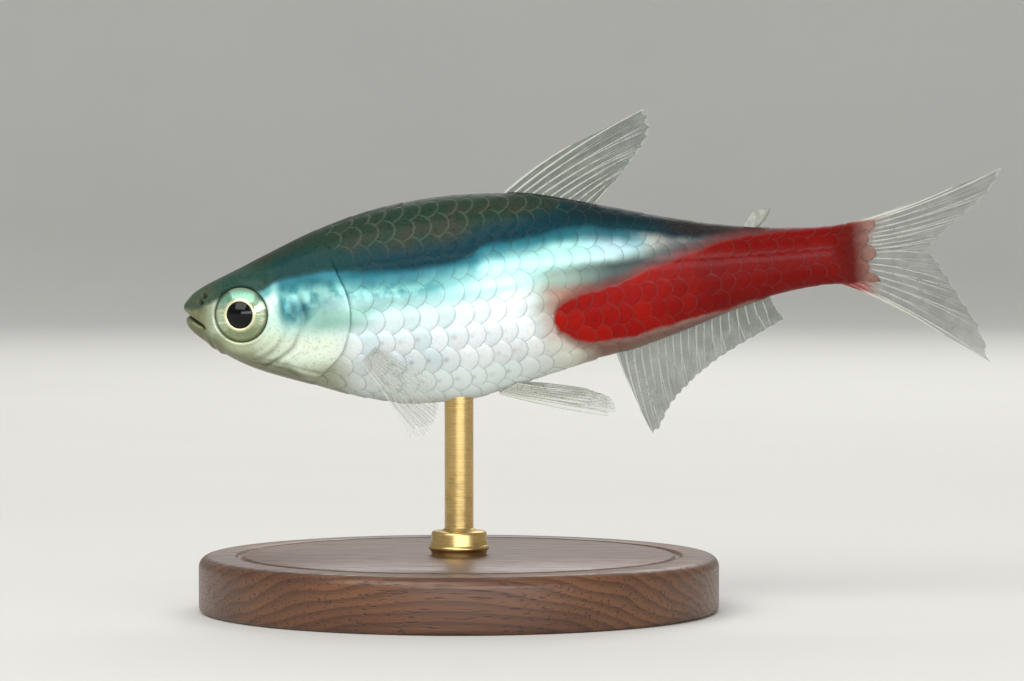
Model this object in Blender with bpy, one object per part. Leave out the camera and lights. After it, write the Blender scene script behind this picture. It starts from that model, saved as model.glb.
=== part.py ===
"""Neon tetra, a still life-size model on a small turned stand.

Metres, +Z up. The head points to -X and the fish's left side faces -Y. The origin is the
middle of the stand's underside. The fish is modelled level, in its own coordinates: x runs
from the tip of the snout to the root of the tail fin, z is height over the body's axis.
The empty fish_pose then lifts it onto the rod and pitches it nose down."""

import math

import bmesh
import bpy
import numpy as np
from mathutils import Vector

# The fish as a whole
STANDARD_LENGTH = 0.028  # tip of the snout to the root of the tail fin
NOSE_DOWN = math.radians(4.8)
AXIS_HEIGHT = 0.0134  # body axis over the floor, above the rod
ROD_STATION = 0.405  # the rod's place along the body, as a share of the standard length
GAP = 0.0003  # clearance between neighbouring pieces
TAIL_SWAY = 0.0009  # how far the root of the tail fin swings to the fish's right
SWAY_START = 0.45  # the station behind which the body bends
SWAY_EASE = 0.55  # under 1 makes the bend straighten towards the tail

# Body outline, as (station, distance from the axis), both in standard lengths
BACK = ((0, 0), (0.01, 0.022), (0.03, 0.034), (0.07, 0.050), (0.12, 0.071), (0.235, 0.113),
        (0.316, 0.130), (0.405, 0.137), (0.49, 0.134), (0.61, 0.108), (0.712, 0.080), (0.79, 0.062),
        (0.88, 0.049), (0.95, 0.045), (1.015, 0.049))
BELLY = ((0, 0), (0.01, 0.034), (0.03, 0.053), (0.094, 0.094), (0.164, 0.121), (0.276, 0.157), (0.33, 0.167),
         (0.40, 0.167), (0.473, 0.153), (0.58, 0.128), (0.66, 0.111), (0.739, 0.089),
         (0.824, 0.063), (0.90, 0.046), (0.95, 0.042), (1.015, 0.047))
HALF_WIDTH = ((0, 0), (0.03, 0.036), (0.07, 0.051), (0.12, 0.063), (0.19, 0.073), (0.27, 0.077),
              (0.40, 0.075), (0.50, 0.067), (0.62, 0.053), (0.74, 0.040), (0.86, 0.029),
              (0.95, 0.022), (1.015, 0.015))
WIDEST_HEIGHT = ((0, 0), (0.10, -0.008), (0.30, -0.004), (0.60, 0.0), (1.015, 0.0))
SECTION_FULLNESS = 0.93  # under 1 makes the cross-section squarer than an ellipse

# Where the pieces of the body meet; the gill opening is (height over girth, station)
GILL_OPENING = ((-1, 0.168), (-0.8, 0.192), (-0.45, 0.230), (-0.1, 0.243), (0.4, 0.226), (1, 0.198))
TAIL_START = 0.616
TAIL_ROOT_BULGE = 0.014  # how far the middle of the tail's end stands behind its edges
GIRTH_COLUMNS = 44
SIDE_CROWDING = 0.16  # sets the columns closer on the long flanks than at the back and belly
HEAD_RINGS = 34
HEAD_CROWDING = 1.35  # over 1 sets the rings closer towards the snout
TORSO_RINGS = 20
TAIL_RINGS = 17
GILL_GAP = 1.15 * GAP  # along the body; it is slanted, so it leaves one gap square to its walls

# Head
EYE_STATION = 0.083
EYE_HEIGHT = -0.012
EYE_RADIUS = 0.00114
EYE_DOME = 0.00026
EYE_DEPTH = 0.00068
EYE_GAP = 0.00025
EYE_SINK = 0.00004  # how far the rim of the eyeball lies under the plain form
PUPIL_RADIUS = 0.00054
PUPIL_STEP = 0.00004
PUPIL_EDGE = 1.08  # foot of the pupil's step, as a share of its radius
LENS_SHOULDER = (0.5, 0.6)  # shares of the pupil's radius and of its step
IRIS_RINGS = (0.88, 0.72)  # shares of the eyeball's radius
BOWL_ANGLES = (0, 20, 40, 60, 76, 90)
EYE_SEGMENTS = 32
SOCKET_SEGMENTS = 36
SOCKET_FLARE = 1.02
SOCKET_REACH = 6 * EYE_DOME  # how far the socket's form stands out of the head
MOUTH_CORNER = (0.030, -0.031)
MOUTH_SLOPE = math.radians(40)
MOUTH_OPENING = 0.00016
MOUTH_CUT = (0.08, 0.2)  # length and breadth of the slit's form, more than the head's
LIP_HEIGHT = 0.00011
LIP_WIDTH = 0.009
LIP_FADE = (0.7, 1.15)  # where the lips end, as shares of the way to the mouth's corner
ORBIT_RIM = 0.00009
ORBIT_RIM_OFF = 0.013  # from the eyeball's edge to the crest of the rim
ORBIT_RIM_WIDTH = 0.009
NOSTRILS = ((0.0245, 0.0105), (0.0305, 0.0195))
NOSTRIL_RADIUS = 0.00013
GILL_COVER_LIFT = 0.00017
GILL_COVER_LENGTH = 0.06
GILL_COVER_TOP = (0.2, 0.6)  # heights over girth between which its edge sinks into the nape
GILL_COVER_FOOT = (-0.99, -0.84)  # and into the throat
CHEEK_GROOVE = 0.00011
CHEEK_GROOVE_WIDTH = 0.006
CHEEK_GROOVE_AHEAD = 0.068  # distance from the groove back to the gill opening
CHEEK_MIDDLE = -0.1  # height over girth
CHEEK_REACH = (0.62, 0.92)  # distances from its middle between which the cheek's relief fades

# Fins
BLADE_ROOT = 0.00021  # half thickness of the membrane at its root
BLADE_TIP = 0.00009
RAY_ROOT = 0.00008  # how far a ray stands out of the membrane, each side
RAY_TIP = 0.00003
MEMBRANE_SCALLOP = 0.035  # how far the membrane stops short of the rays' tips
FIN_ROWS = 4  # divisions along a ray of a short fin
DORSAL_ROWS = 5
TAIL_ROWS = 6

# Each fin has its number of rays, how far they bow, its root and its edge. The edge is (share of the
# fan from the leading ray to the last, station, height). The first rays of the unpaired fins are short.
DORSAL_RAYS = 11
DORSAL_BOW = -0.03
DORSAL_ROOT = (0.476, 0.610)
DORSAL_EDGE = ((0, 0.588, 0.196), (0.1, 0.700, 0.240), (0.3, 0.707, 0.214), (0.65, 0.677, 0.168),
               (1, 0.650, 0.138))
ADIPOSE_RIBS = 4
ADIPOSE_BOW = -0.09
ADIPOSE_ROOT = (0.828, 0.852)
ADIPOSE_EDGE = ((0, 0.858, 0.081), (0.5, 0.875, 0.078), (1, 0.874, 0.066))
ANAL_RAYS = 20
ANAL_BOW = 0.03
ANAL_ROOT = (0.630, 0.862)
ANAL_EDGE = ((0, 0.648, -0.172), (0.05, 0.660, -0.208), (0.105, 0.674, -0.240), (0.3, 0.707, -0.197),
             (0.6, 0.768, -0.146), (1, 0.882, -0.088))
UPPER_LOBE_RAYS = 10
UPPER_LOBE_BOW = 0.03
UPPER_LOBE_ROOT = 0.046
UPPER_LOBE_EDGE = ((0, 1.150, 0.086), (0.11, 1.228, 0.110), (0.3, 1.208, 0.080), (0.6, 1.158, 0.040),
                   (1, 1.110, 0.004))
LOWER_LOBE_RAYS = 9
LOWER_LOBE_BOW = -0.03
LOWER_LOBE_ROOT = -0.044
LOWER_LOBE_EDGE = ((0, 1.120, -0.132), (0.125, 1.188, -0.180), (0.3, 1.180, -0.140),
                   (0.6, 1.148, -0.076), (1, 1.110, -0.010))

# The paired fins spread out of the sagittal plane; their points are (station, side, height)
PELVIC_RAYS = 8
PELVIC_BOW = 0.02
PELVIC_ROOT = ((0.458, 0.024, -0.164), (0.484, 0.030, -0.152))
PELVIC_EDGE = ((0, 0.610, 0.040, -0.206), (0.15, 0.622, 0.042, -0.200), (0.5, 0.618, 0.045, -0.186),
               (1, 0.584, 0.046, -0.168))
PECTORAL_RAYS = 11
PECTORAL_BOW = -0.03
PECTORAL_ROOT = ((0.258, 0.080, -0.096), (0.280, 0.082, -0.076))
PECTORAL_EDGE = ((0, 0.318, 0.122, -0.210), (0.2, 0.340, 0.130, -0.208), (0.6, 0.360, 0.131, -0.172),
                 (1, 0.358, 0.124, -0.132))

# Stand
BASE_RADIUS = 0.0108
BASE_HEIGHT = 0.0023
BASE_BEVEL = 0.00045
ROD_RADIUS = 0.0006
COLLAR_RADIUS = 0.00115
COLLAR_HEIGHT = 0.0007
COLLAR_BEVEL = 0.0002
BASE_SEGMENTS = 72
ROD_SEGMENTS = 28

# Finishes: linear colour, roughness, metallic
SILVER = ((0.62, 0.68, 0.62), 0.35, 0.2)
BLUE = ((0.20, 0.55, 0.60), 0.30, 0.3)
RED = ((0.30, 0.015, 0.010), 0.35, 0.0)
WET_EYE = ((0.55, 0.58, 0.42), 0.10, 0.2)
FIN = ((0.42, 0.44, 0.42), 0.30, 0.0)
WALNUT = ((0.11, 0.05, 0.025), 0.45, 0.0)
BRASS = ((0.62, 0.44, 0.17), 0.28, 1.0)
CUTTER = ((0.5, 0.5, 0.5), 0.5, 0.0)


def smooth_curve(points, round_start=False):
    """A smooth curve through the points that never overshoots them.

    With round_start it leaves station 0 upright, as the outline of a blunt snout does."""
    knots = np.array([point[0] for point in points], dtype=float)
    values = np.array([point[1] for point in points], dtype=float)
    if round_start:
        knots = np.sqrt(knots)
    steps = np.diff(knots)
    slopes = np.diff(values) / steps
    tangents = np.zeros(len(points))
    tangents[0] = slopes[0]
    tangents[-1] = slopes[-1]
    for i in range(1, len(points) - 1):
        if slopes[i - 1] * slopes[i] > 0:
            tangents[i] = 2 * slopes[i - 1] * slopes[i] / (slopes[i - 1] + slopes[i])

    def curve(at):
        at = np.asarray(at, dtype=float)
        at = np.sqrt(np.clip(at, 0, None)) if round_start else at
        at = np.clip(at, knots[0], knots[-1])
        i = np.clip(np.searchsorted(knots, at) - 1, 0, len(steps) - 1)
        t = (at - knots[i]) / steps[i]
        rise = (3 - 2 * t) * t * t
        return (values[i] * (1 - rise) + values[i + 1] * rise
                + steps[i] * t * (1 - t) * (tangents[i] * (1 - t) - tangents[i + 1] * t))

    return curve


back = smooth_curve(BACK, round_start=True)
belly = smooth_curve(BELLY, round_start=True)
half_width = smooth_curve(HALF_WIDTH, round_start=True)
widest_height = smooth_curve(WIDEST_HEIGHT)
gill_opening = smooth_curve(GILL_OPENING)


def smooth_step(value, start, end):
    t = np.clip((np.asarray(value, dtype=float) - start) / (end - start), 0, 1)
    return t * t * (3 - 2 * t)


def bump(distance, width):
    """A soft ridge, 1 on its crest and gone about two widths away."""
    return np.exp(-((np.asarray(distance) / width) ** 2))


def sway(x):
    """Sideways bend of the body and the tail fin, 0 up to SWAY_START."""
    share = np.clip((np.asarray(x, dtype=float) / STANDARD_LENGTH - SWAY_START) / (1 - SWAY_START), 0, None)
    return TAIL_SWAY * share * share / (SWAY_EASE + (1 - SWAY_EASE) * share)


def head_relief(station, height, girth_height):
    """How far the head's skin stands out of the plain form: lips, orbit rim, cheek, gill cover."""
    along = station * math.cos(MOUTH_SLOPE) - height * math.sin(MOUTH_SLOPE)
    corner_along = MOUTH_CORNER[0] * math.cos(MOUTH_SLOPE) - MOUTH_CORNER[1] * math.sin(MOUTH_SLOPE)
    off_line = ((station - MOUTH_CORNER[0]) * math.sin(MOUTH_SLOPE)
                + (height - MOUTH_CORNER[1]) * math.cos(MOUTH_SLOPE))
    lips = LIP_HEIGHT * bump(np.abs(off_line) - LIP_WIDTH, LIP_WIDTH)
    lips = lips * (1 - smooth_step(along / corner_along, *LIP_FADE))
    from_eye = np.hypot(station - EYE_STATION, height - EYE_HEIGHT)
    rim = ORBIT_RIM * bump(from_eye - EYE_RADIUS / STANDARD_LENGTH - ORBIT_RIM_OFF, ORBIT_RIM_WIDTH)
    ahead = gill_opening(girth_height) - station
    side_only = 1 - smooth_step(np.abs(girth_height - CHEEK_MIDDLE), *CHEEK_REACH)
    groove = CHEEK_GROOVE * bump(ahead - CHEEK_GROOVE_AHEAD, CHEEK_GROOVE_WIDTH) * side_only
    cover = GILL_COVER_LIFT * (1 - smooth_step(ahead, 0, GILL_COVER_LENGTH))
    cover = cover * (1 - smooth_step(girth_height, *GILL_COVER_TOP))
    cover = cover * smooth_step(girth_height, *GILL_COVER_FOOT)
    return lips + rim - groove + cover


def plain_body(station, girth):
    """Points of the plain body form; girth runs 0 at the belly, over the left side, to pi at the back."""
    upward = -np.cos(girth)
    outward = -np.sin(girth)
    middle = widest_height(station)
    reach = np.where(upward > 0, back(station) - middle, belly(station) + middle)
    height = middle + reach * np.sign(upward) * np.abs(upward) ** SECTION_FULLNESS
    width = half_width(station) * np.sign(outward) * np.abs(outward) ** SECTION_FULLNESS
    return np.stack([station, width, height], axis=-1) * STANDARD_LENGTH


def body_normal(station, girth):
    small = 1e-3
    along = plain_body(station + small, girth) - plain_body(np.maximum(station - small, 0), girth)
    around = plain_body(station, girth + small) - plain_body(station, girth - small)
    normal = np.cross(along, around)
    length = np.linalg.norm(normal, axis=-1, keepdims=True)
    return normal / np.maximum(length, 1e-15)


def surface_at(station, height, side):
    """The point of the plain form at a station and height, and its outward normal."""
    middle = float(widest_height(station))
    reach = float(back(station)) - middle if height > middle else float(belly(station)) + middle
    upward = math.copysign((abs(height - middle) / reach) ** (1 / SECTION_FULLNESS), height - middle)
    girth = np.array([math.acos(-upward)])
    mirror = np.array((1, -side, 1))
    station = np.array([station])
    return plain_body(station, girth)[0] * mirror, body_normal(station, girth)[0] * mirror


def bend(points):
    points = np.array(points, dtype=float)
    points[..., 1] += sway(points[..., 0])
    return points


def body_ring(station, girth, relief):
    station = np.broadcast_to(station, girth.shape)
    points = plain_body(station, girth)
    if relief:
        lift = relief(station, points[:, 2] / STANDARD_LENGTH, -np.cos(girth))
        points = points + body_normal(station, girth) * lift[:, None]
    return bend(points)


def new_object(name, bm, finish, parent=None, smooth_angle=math.radians(40)):
    """Turns a bmesh into a named object with its own material."""
    bmesh.ops.recalc_face_normals(bm, faces=bm.faces)
    mesh = bpy.data.meshes.new(name)
    bm.to_mesh(mesh)
    bm.free()
    mesh.shade_smooth()
    mesh.set_sharp_from_angle(angle=smooth_angle)
    thing = bpy.data.objects.new(name, mesh)
    bpy.context.scene.collection.objects.link(thing)
    thing.parent = parent
    material = bpy.data.materials.new(name)
    material.use_nodes = True
    shader = material.node_tree.nodes["Principled BSDF"]
    colour, roughness, metallic = finish
    shader.inputs["Base Color"].default_value = (*colour, 1)
    shader.inputs["Roughness"].default_value = roughness
    shader.inputs["Metallic"].default_value = metallic
    mesh.materials.append(material)
    return thing


def close_with_ruled_cap(bm, ring):
    """Closes a ring that is alike left and right with straight strips from side to side."""
    count = len(ring)
    bm.faces.new((ring[0], ring[1], ring[-1]))
    for i in range(1, count // 2 - 1):
        bm.faces.new((ring[i], ring[i + 1], ring[count - i - 1], ring[count - i]))
    bm.faces.new((ring[count // 2 - 1], ring[count // 2], ring[count // 2 + 1]))


def body_piece(name, finish, parent, front, rear, rings, crowd=1.0, relief=None):
    """A length of the body between two boundaries, each a station for every height over girth.

    Where front is None the piece starts at the tip of the snout."""
    girth = np.linspace(0, 2 * math.pi, GIRTH_COLUMNS, endpoint=False)
    girth = girth + SIDE_CROWDING * np.sin(2 * girth)
    girth_height = -np.cos(girth)
    start = np.zeros_like(girth) if front is None else front(girth_height)
    end = rear(girth_height)
    bm = bmesh.new()
    rows = []
    for i in range(1 if front is None else 0, rings + 1):
        share = (i / rings) ** crowd
        points = body_ring(start + (end - start) * share, girth, relief)
        rows.append([bm.verts.new(point) for point in points])
    for lower, upper in zip(rows, rows[1:]):
        for i in range(GIRTH_COLUMNS):
            j = (i + 1) % GIRTH_COLUMNS
            bm.faces.new((lower[i], lower[j], upper[j], upper[i]))
    if front is None:
        tip = bm.verts.new((0, 0, 0))
        for i in range(GIRTH_COLUMNS):
            bm.faces.new((tip, rows[0][i], rows[0][(i + 1) % GIRTH_COLUMNS]))
    else:
        close_with_ruled_cap(bm, rows[0])
    close_with_ruled_cap(bm, rows[-1])
    return new_object(name, bm, finish, parent)


def revolved(profile, segments):
    """Turns (radius, height) points round Z; the first and last lie on the axis."""
    bm = bmesh.new()
    bottom = bm.verts.new((0, 0, profile[0][1]))
    top = bm.verts.new((0, 0, profile[-1][1]))
    rows = []
    for radius, height in profile[1:-1]:
        turns = [2 * math.pi * i / segments for i in range(segments)]
        rows.append([bm.verts.new((radius * math.cos(a), radius * math.sin(a), height)) for a in turns])
    for i in range(segments):
        j = (i + 1) % segments
        bm.faces.new((bottom, rows[0][j], rows[0][i]))
        for lower, upper in zip(rows, rows[1:]):
            bm.faces.new((lower[i], lower[j], upper[j], upper[i]))
        bm.faces.new((rows[-1][i], rows[-1][j], top))
    return bm


def eye_profile(gap):
    """Half outline of the eyeball, from its back to the middle of the cornea."""
    radius = EYE_RADIUS + gap
    depth = EYE_DEPTH + gap
    bowl = [(radius * math.sin(a), -depth * math.cos(a)) for a in np.radians(BOWL_ANGLES)]
    if gap:
        return bowl + [(radius * SOCKET_FLARE, SOCKET_REACH), (0, SOCKET_REACH)]
    shares = (*IRIS_RINGS, PUPIL_RADIUS / radius * PUPIL_EDGE)
    iris = [(radius * share, EYE_DOME * (1 - share**2)) for share in shares]
    pupil_edge = (PUPIL_RADIUS, EYE_DOME * (1 - (PUPIL_RADIUS / radius) ** 2) + PUPIL_STEP)
    shoulder = (PUPIL_RADIUS * LENS_SHOULDER[0], EYE_DOME + PUPIL_STEP * LENS_SHOULDER[1])
    return bowl + iris + [pupil_edge, shoulder, (0, EYE_DOME + PUPIL_STEP)]


def place_eye(thing, side):
    """Sets a turned eye form into its place; its own +Z looks out of the head."""
    point, outward = surface_at(EYE_STATION, EYE_HEIGHT, side)
    thing.location = point - outward * EYE_SINK
    thing.rotation_euler = Vector(outward).to_track_quat("Z", "Y").to_euler()


def cutter(name, bm, parent):
    thing = new_object(name, bm, CUTTER, parent)
    thing.hide_render = True
    thing.display_type = "WIRE"
    return thing


def cut(thing, tool):
    modifier = thing.modifiers.new(tool.name, "BOOLEAN")
    modifier.operation = "DIFFERENCE"
    modifier.solver = "EXACT"
    modifier.object = tool


def make_head(finish, parent):
    head = body_piece("head", finish, parent, None, gill_opening, HEAD_RINGS, HEAD_CROWDING, head_relief)
    for side, label in ((-1, "left"), (1, "right")):
        socket = cutter(f"socket_{label}", revolved(eye_profile(EYE_GAP), SOCKET_SEGMENTS), parent)
        place_eye(socket, side)
        cut(head, socket)
        for i, (station, height) in enumerate(NOSTRILS):
            pit = bmesh.new()
            bmesh.ops.create_icosphere(pit, subdivisions=2, radius=NOSTRIL_RADIUS)
            pit_tool = cutter(f"nostril_{label}_{i}", pit, parent)
            pit_tool.location = surface_at(station, height, side)[0]
            cut(head, pit_tool)
    slit = bmesh.new()
    length, breadth = [share * STANDARD_LENGTH for share in MOUTH_CUT]
    bmesh.ops.create_cube(slit, size=1)
    bmesh.ops.scale(slit, vec=(length, breadth, MOUTH_OPENING), verts=slit.verts)
    bmesh.ops.translate(slit, vec=(-length / 2, 0, 0), verts=slit.verts)
    mouth = cutter("mouth", slit, parent)
    mouth.location = (MOUTH_CORNER[0] * STANDARD_LENGTH, 0, MOUTH_CORNER[1] * STANDARD_LENGTH)
    mouth.rotation_euler = (0, MOUTH_SLOPE, 0)
    cut(head, mouth)


def make_torso(finish, parent):
    def front(girth_height):
        return gill_opening(girth_height) + GILL_GAP / STANDARD_LENGTH

    def rear(girth_height):
        return np.full_like(girth_height, TAIL_START - GAP / 2 / STANDARD_LENGTH)

    body_piece("torso", finish, parent, front, rear, TORSO_RINGS)


def tail_end(girth_height):
    return 1 + TAIL_ROOT_BULGE * (1 - girth_height**2)


def make_tail(finish, parent):
    def front(girth_height):
        return np.full_like(girth_height, TAIL_START + GAP / 2 / STANDARD_LENGTH)

    body_piece("tail", finish, parent, front, tail_end, TAIL_RINGS)


def make_eyes(finish, parent):
    for side, label in ((-1, "left"), (1, "right")):
        place_eye(new_object(f"eye_{label}", revolved(eye_profile(0), EYE_SEGMENTS), finish, parent), side)


def fin_blade(name, finish, parent, root, tip, face, rays, rows, bow=0.0, ray_height=1.0):
    """A closed blade of rays and membrane.

    root(t) and tip(t) are the two ends of the line at share t of the fan, from the leading ray
    to the last; face is the unit normal of the blade; bow bends the rays in its plane. Both
    faces are divided alike, with a crest along each ray and a hollow between two. A fleshy
    fin has ray_height 0."""
    columns = 2 * rays - 1
    face = np.array(face, dtype=float)
    sides = ([], [])
    for i in range(columns):
        t = i / (columns - 1)
        is_ray = i % 2 == 0
        start = np.array(root(t), dtype=float)
        end = np.array(tip(t), dtype=float)
        if not is_ray and ray_height:
            end = start + (end - start) * (1 - MEMBRANE_SCALLOP)
        across = np.cross(face, end - start)
        for j in range(rows + 1):
            share = j / rows
            middle = start + (end - start) * share + across * bow * 4 * share * (1 - share)
            half = BLADE_ROOT + (BLADE_TIP - BLADE_ROOT) * share
            if is_ray:
                half += ray_height * (RAY_ROOT + (RAY_TIP - RAY_ROOT) * share)
            for side, sign in zip(sides, (-1, 1)):
                side.append(middle + face * half * sign)
    bm = bmesh.new()
    grids = [[bm.verts.new(point) for point in bend(side)] for side in sides]

    def at(grid, i, j):
        return grid[i * (rows + 1) + j]

    for i in range(columns - 1):
        for j in range(rows):
            for grid in grids:
                low, high = (i, i + 1) if i % 2 == 0 else (i + 1, i)
                bm.faces.new((at(grid, low, j), at(grid, high, j), at(grid, high, j + 1)))
                bm.faces.new((at(grid, low, j), at(grid, high, j + 1), at(grid, low, j + 1)))
    rim = [(i, 0) for i in range(columns)] + [(columns - 1, j) for j in range(1, rows + 1)]
    rim += [(i, rows) for i in range(columns - 2, -1, -1)] + [(0, j) for j in range(rows - 1, 0, -1)]
    for (i, j), (k, m) in zip(rim, rim[1:] + rim[:1]):
        a, b = at(grids[0], i, j), at(grids[0], k, m)
        c, d = at(grids[1], i, j), at(grids[1], k, m)
        bm.faces.new((a, b, d))
        bm.faces.new((a, d, c))
    return new_object(name, bm, finish, parent)


def edge_line(edge, side=1):
    """A fin's edge as a smooth run; its points hold the share of the fan, station, side and height."""
    points = [point if len(point) == 4 else (point[0], point[1], 0, point[2]) for point in edge]
    curves = [smooth_curve([(point[0], point[axis]) for point in points]) for axis in (1, 2, 3)]
    mirror = np.array((1, side, 1))
    return lambda t: np.array([float(curve(t)) for curve in curves]) * STANDARD_LENGTH * mirror


def root_line(root, side):
    """A paired fin's root, straight from its leading ray to the last."""
    start, end = np.array(root, dtype=float)
    mirror = np.array((1, side, 1))
    return lambda t: (start + (end - start) * t) * STANDARD_LENGTH * mirror


def root_on_skin(root, outline, direction):
    """An unpaired fin's root, one gap off the back (direction 1) or the belly (direction -1)."""
    first, last = root

    def line(t):
        station = first + (last - first) * t
        height = float(outline(station)) * STANDARD_LENGTH + GAP
        return np.array((station * STANDARD_LENGTH, 0, direction * height))

    return line


def root_on_tail_end(outer):
    """A tail lobe's root, one gap behind the tail's end, from its outer ray to the middle."""
    inner = math.copysign(GAP / 2 / STANDARD_LENGTH, outer)
    edge = back(1.0) if outer > 0 else belly(1.0)

    def line(t):
        height = outer + (inner - outer) * t
        station = float(tail_end(height / edge)) + GAP / STANDARD_LENGTH
        return np.array((station, 0, height)) * STANDARD_LENGTH

    return line


def make_unpaired_fins(finish, parent):
    sideways = (0, 1, 0)
    fin_blade("dorsal_fin", finish, parent, root_on_skin(DORSAL_ROOT, back, 1),
              edge_line(DORSAL_EDGE), sideways, DORSAL_RAYS, DORSAL_ROWS, DORSAL_BOW)
    fin_blade("adipose_fin", finish, parent, root_on_skin(ADIPOSE_ROOT, back, 1),
              edge_line(ADIPOSE_EDGE), sideways, ADIPOSE_RIBS, FIN_ROWS, ADIPOSE_BOW, 0)
    fin_blade("anal_fin", finish, parent, root_on_skin(ANAL_ROOT, belly, -1),
              edge_line(ANAL_EDGE), sideways, ANAL_RAYS, FIN_ROWS, ANAL_BOW)
    fin_blade("caudal_fin_upper", finish, parent, root_on_tail_end(UPPER_LOBE_ROOT),
              edge_line(UPPER_LOBE_EDGE), sideways, UPPER_LOBE_RAYS, TAIL_ROWS, UPPER_LOBE_BOW)
    fin_blade("caudal_fin_lower", finish, parent, root_on_tail_end(LOWER_LOBE_ROOT),
              edge_line(LOWER_LOBE_EDGE), sideways, LOWER_LOBE_RAYS, TAIL_ROWS, LOWER_LOBE_BOW)


def make_paired_fin(name, finish, parent, side, root, edge, rays, bow):
    """One of a pair; its blade lies in the plane of its root and the middle of its edge."""
    root_run = root_line(root, side)
    edge_run = edge_line(edge, side)
    along = edge_run(0.5) - root_run(0.5)
    face = np.cross(edge_run(0.1) - edge_run(0.9), along)
    face = face / np.linalg.norm(face)
    fin_blade(name, finish, parent, root_run, edge_run, face, rays, FIN_ROWS, bow)


def make_paired_fins(finish, parent):
    for side, label in ((-1, "left"), (1, "right")):
        make_paired_fin(f"pelvic_fin_{label}", finish, parent, side, PELVIC_ROOT, PELVIC_EDGE,
                        PELVIC_RAYS, side * PELVIC_BOW)
        make_paired_fin(f"pectoral_fin_{label}", finish, parent, side, PECTORAL_ROOT, PECTORAL_EDGE,
                        PECTORAL_RAYS, side * PECTORAL_BOW)


def make_stand(wood, metal):
    base = revolved([(0, 0), (BASE_RADIUS, 0), (BASE_RADIUS, BASE_HEIGHT), (0, BASE_HEIGHT)], BASE_SEGMENTS)
    disc = new_object("stand_base", base, wood)
    edge = disc.modifiers.new("edge", "BEVEL")
    edge.width = BASE_BEVEL
    edge.segments = 3
    edge.limit_method = "ANGLE"
    edge.angle_limit = math.radians(40)

    foot = BASE_HEIGHT + GAP
    collar_top = foot + COLLAR_HEIGHT
    belly_top = AXIS_HEIGHT - float(belly(ROD_STATION)) * STANDARD_LENGTH * math.cos(NOSE_DOWN) - GAP
    rod = revolved([(0, foot), (COLLAR_RADIUS, foot), (COLLAR_RADIUS, collar_top - COLLAR_BEVEL),
                    (COLLAR_RADIUS - COLLAR_BEVEL, collar_top), (ROD_RADIUS, collar_top),
                    (ROD_RADIUS, belly_top), (0, belly_top)], ROD_SEGMENTS)
    saddle = STANDARD_LENGTH * float(belly(ROD_STATION))
    width = STANDARD_LENGTH * float(half_width(ROD_STATION))
    for vert in rod.verts:
        if vert.co.z > collar_top + GAP:
            rise = saddle * (1 - math.sqrt(1 - (vert.co.y / width) ** 2))
            vert.co.z += rise + vert.co.x * math.tan(NOSE_DOWN)
    new_object("stand_rod", rod, metal)


def main():
    for thing in list(bpy.data.objects):
        bpy.data.objects.remove(thing, do_unlink=True)

    pose = bpy.data.objects.new("fish_pose", None)
    bpy.context.scene.collection.objects.link(pose)
    pose.rotation_euler = (0, -NOSE_DOWN, 0)
    lever = ROD_STATION * STANDARD_LENGTH
    pose.location = (-lever * math.cos(NOSE_DOWN), 0, AXIS_HEIGHT - lever * math.sin(NOSE_DOWN))

    make_head(SILVER, pose)
    make_torso(BLUE, pose)
    make_tail(RED, pose)
    make_eyes(WET_EYE, pose)
    make_unpaired_fins(FIN, pose)
    make_paired_fins(FIN, pose)
    make_stand(WALNUT, BRASS)


main()
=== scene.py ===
"""The looks of a neon tetra, a still life-size model on a small turned stand.

Metres, +Z up. The fish is worked out level, in its own coordinates: station runs from the tip of
the snout (0) to the root of the tail fin (1), height is over the body's axis, both in standard
lengths, and girth runs 0 at the belly, over the left side, to pi at the back. place() then sways
the tail aside, pitches the fish nose down and sets it over the stand."""

import math

import bmesh
import bpy
import numpy as np
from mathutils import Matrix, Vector


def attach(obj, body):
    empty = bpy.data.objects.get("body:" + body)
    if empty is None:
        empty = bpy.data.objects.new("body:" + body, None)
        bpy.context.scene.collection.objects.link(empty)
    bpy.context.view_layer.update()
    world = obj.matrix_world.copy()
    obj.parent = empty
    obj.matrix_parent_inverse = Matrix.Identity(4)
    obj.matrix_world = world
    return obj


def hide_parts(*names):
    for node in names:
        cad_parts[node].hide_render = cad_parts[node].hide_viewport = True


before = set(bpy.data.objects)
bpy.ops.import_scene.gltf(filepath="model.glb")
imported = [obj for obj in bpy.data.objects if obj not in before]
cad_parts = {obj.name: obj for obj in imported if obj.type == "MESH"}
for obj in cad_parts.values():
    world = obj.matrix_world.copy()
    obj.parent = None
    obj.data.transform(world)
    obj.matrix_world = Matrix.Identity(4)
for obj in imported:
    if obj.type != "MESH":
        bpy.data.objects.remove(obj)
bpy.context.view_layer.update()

# The fish as a whole, as its solids have it
STANDARD_LENGTH = 0.028
NOSE_DOWN = math.radians(4.8)
AXIS_HEIGHT = 0.0134
ROD_STATION = 0.405
TAIL_SWAY = 0.0009
SWAY_START = 0.45
SWAY_EASE = 0.55  # under 1 makes the bend straighten towards the tail
MM = 0.001

# Angle between two faces over which their edge is left sharp
SHARP = math.radians(50)
SHARP_ON_SCALES = math.radians(60)
SHARP_ON_STAND = math.radians(35)
NEVER_SHARP = math.pi

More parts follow.
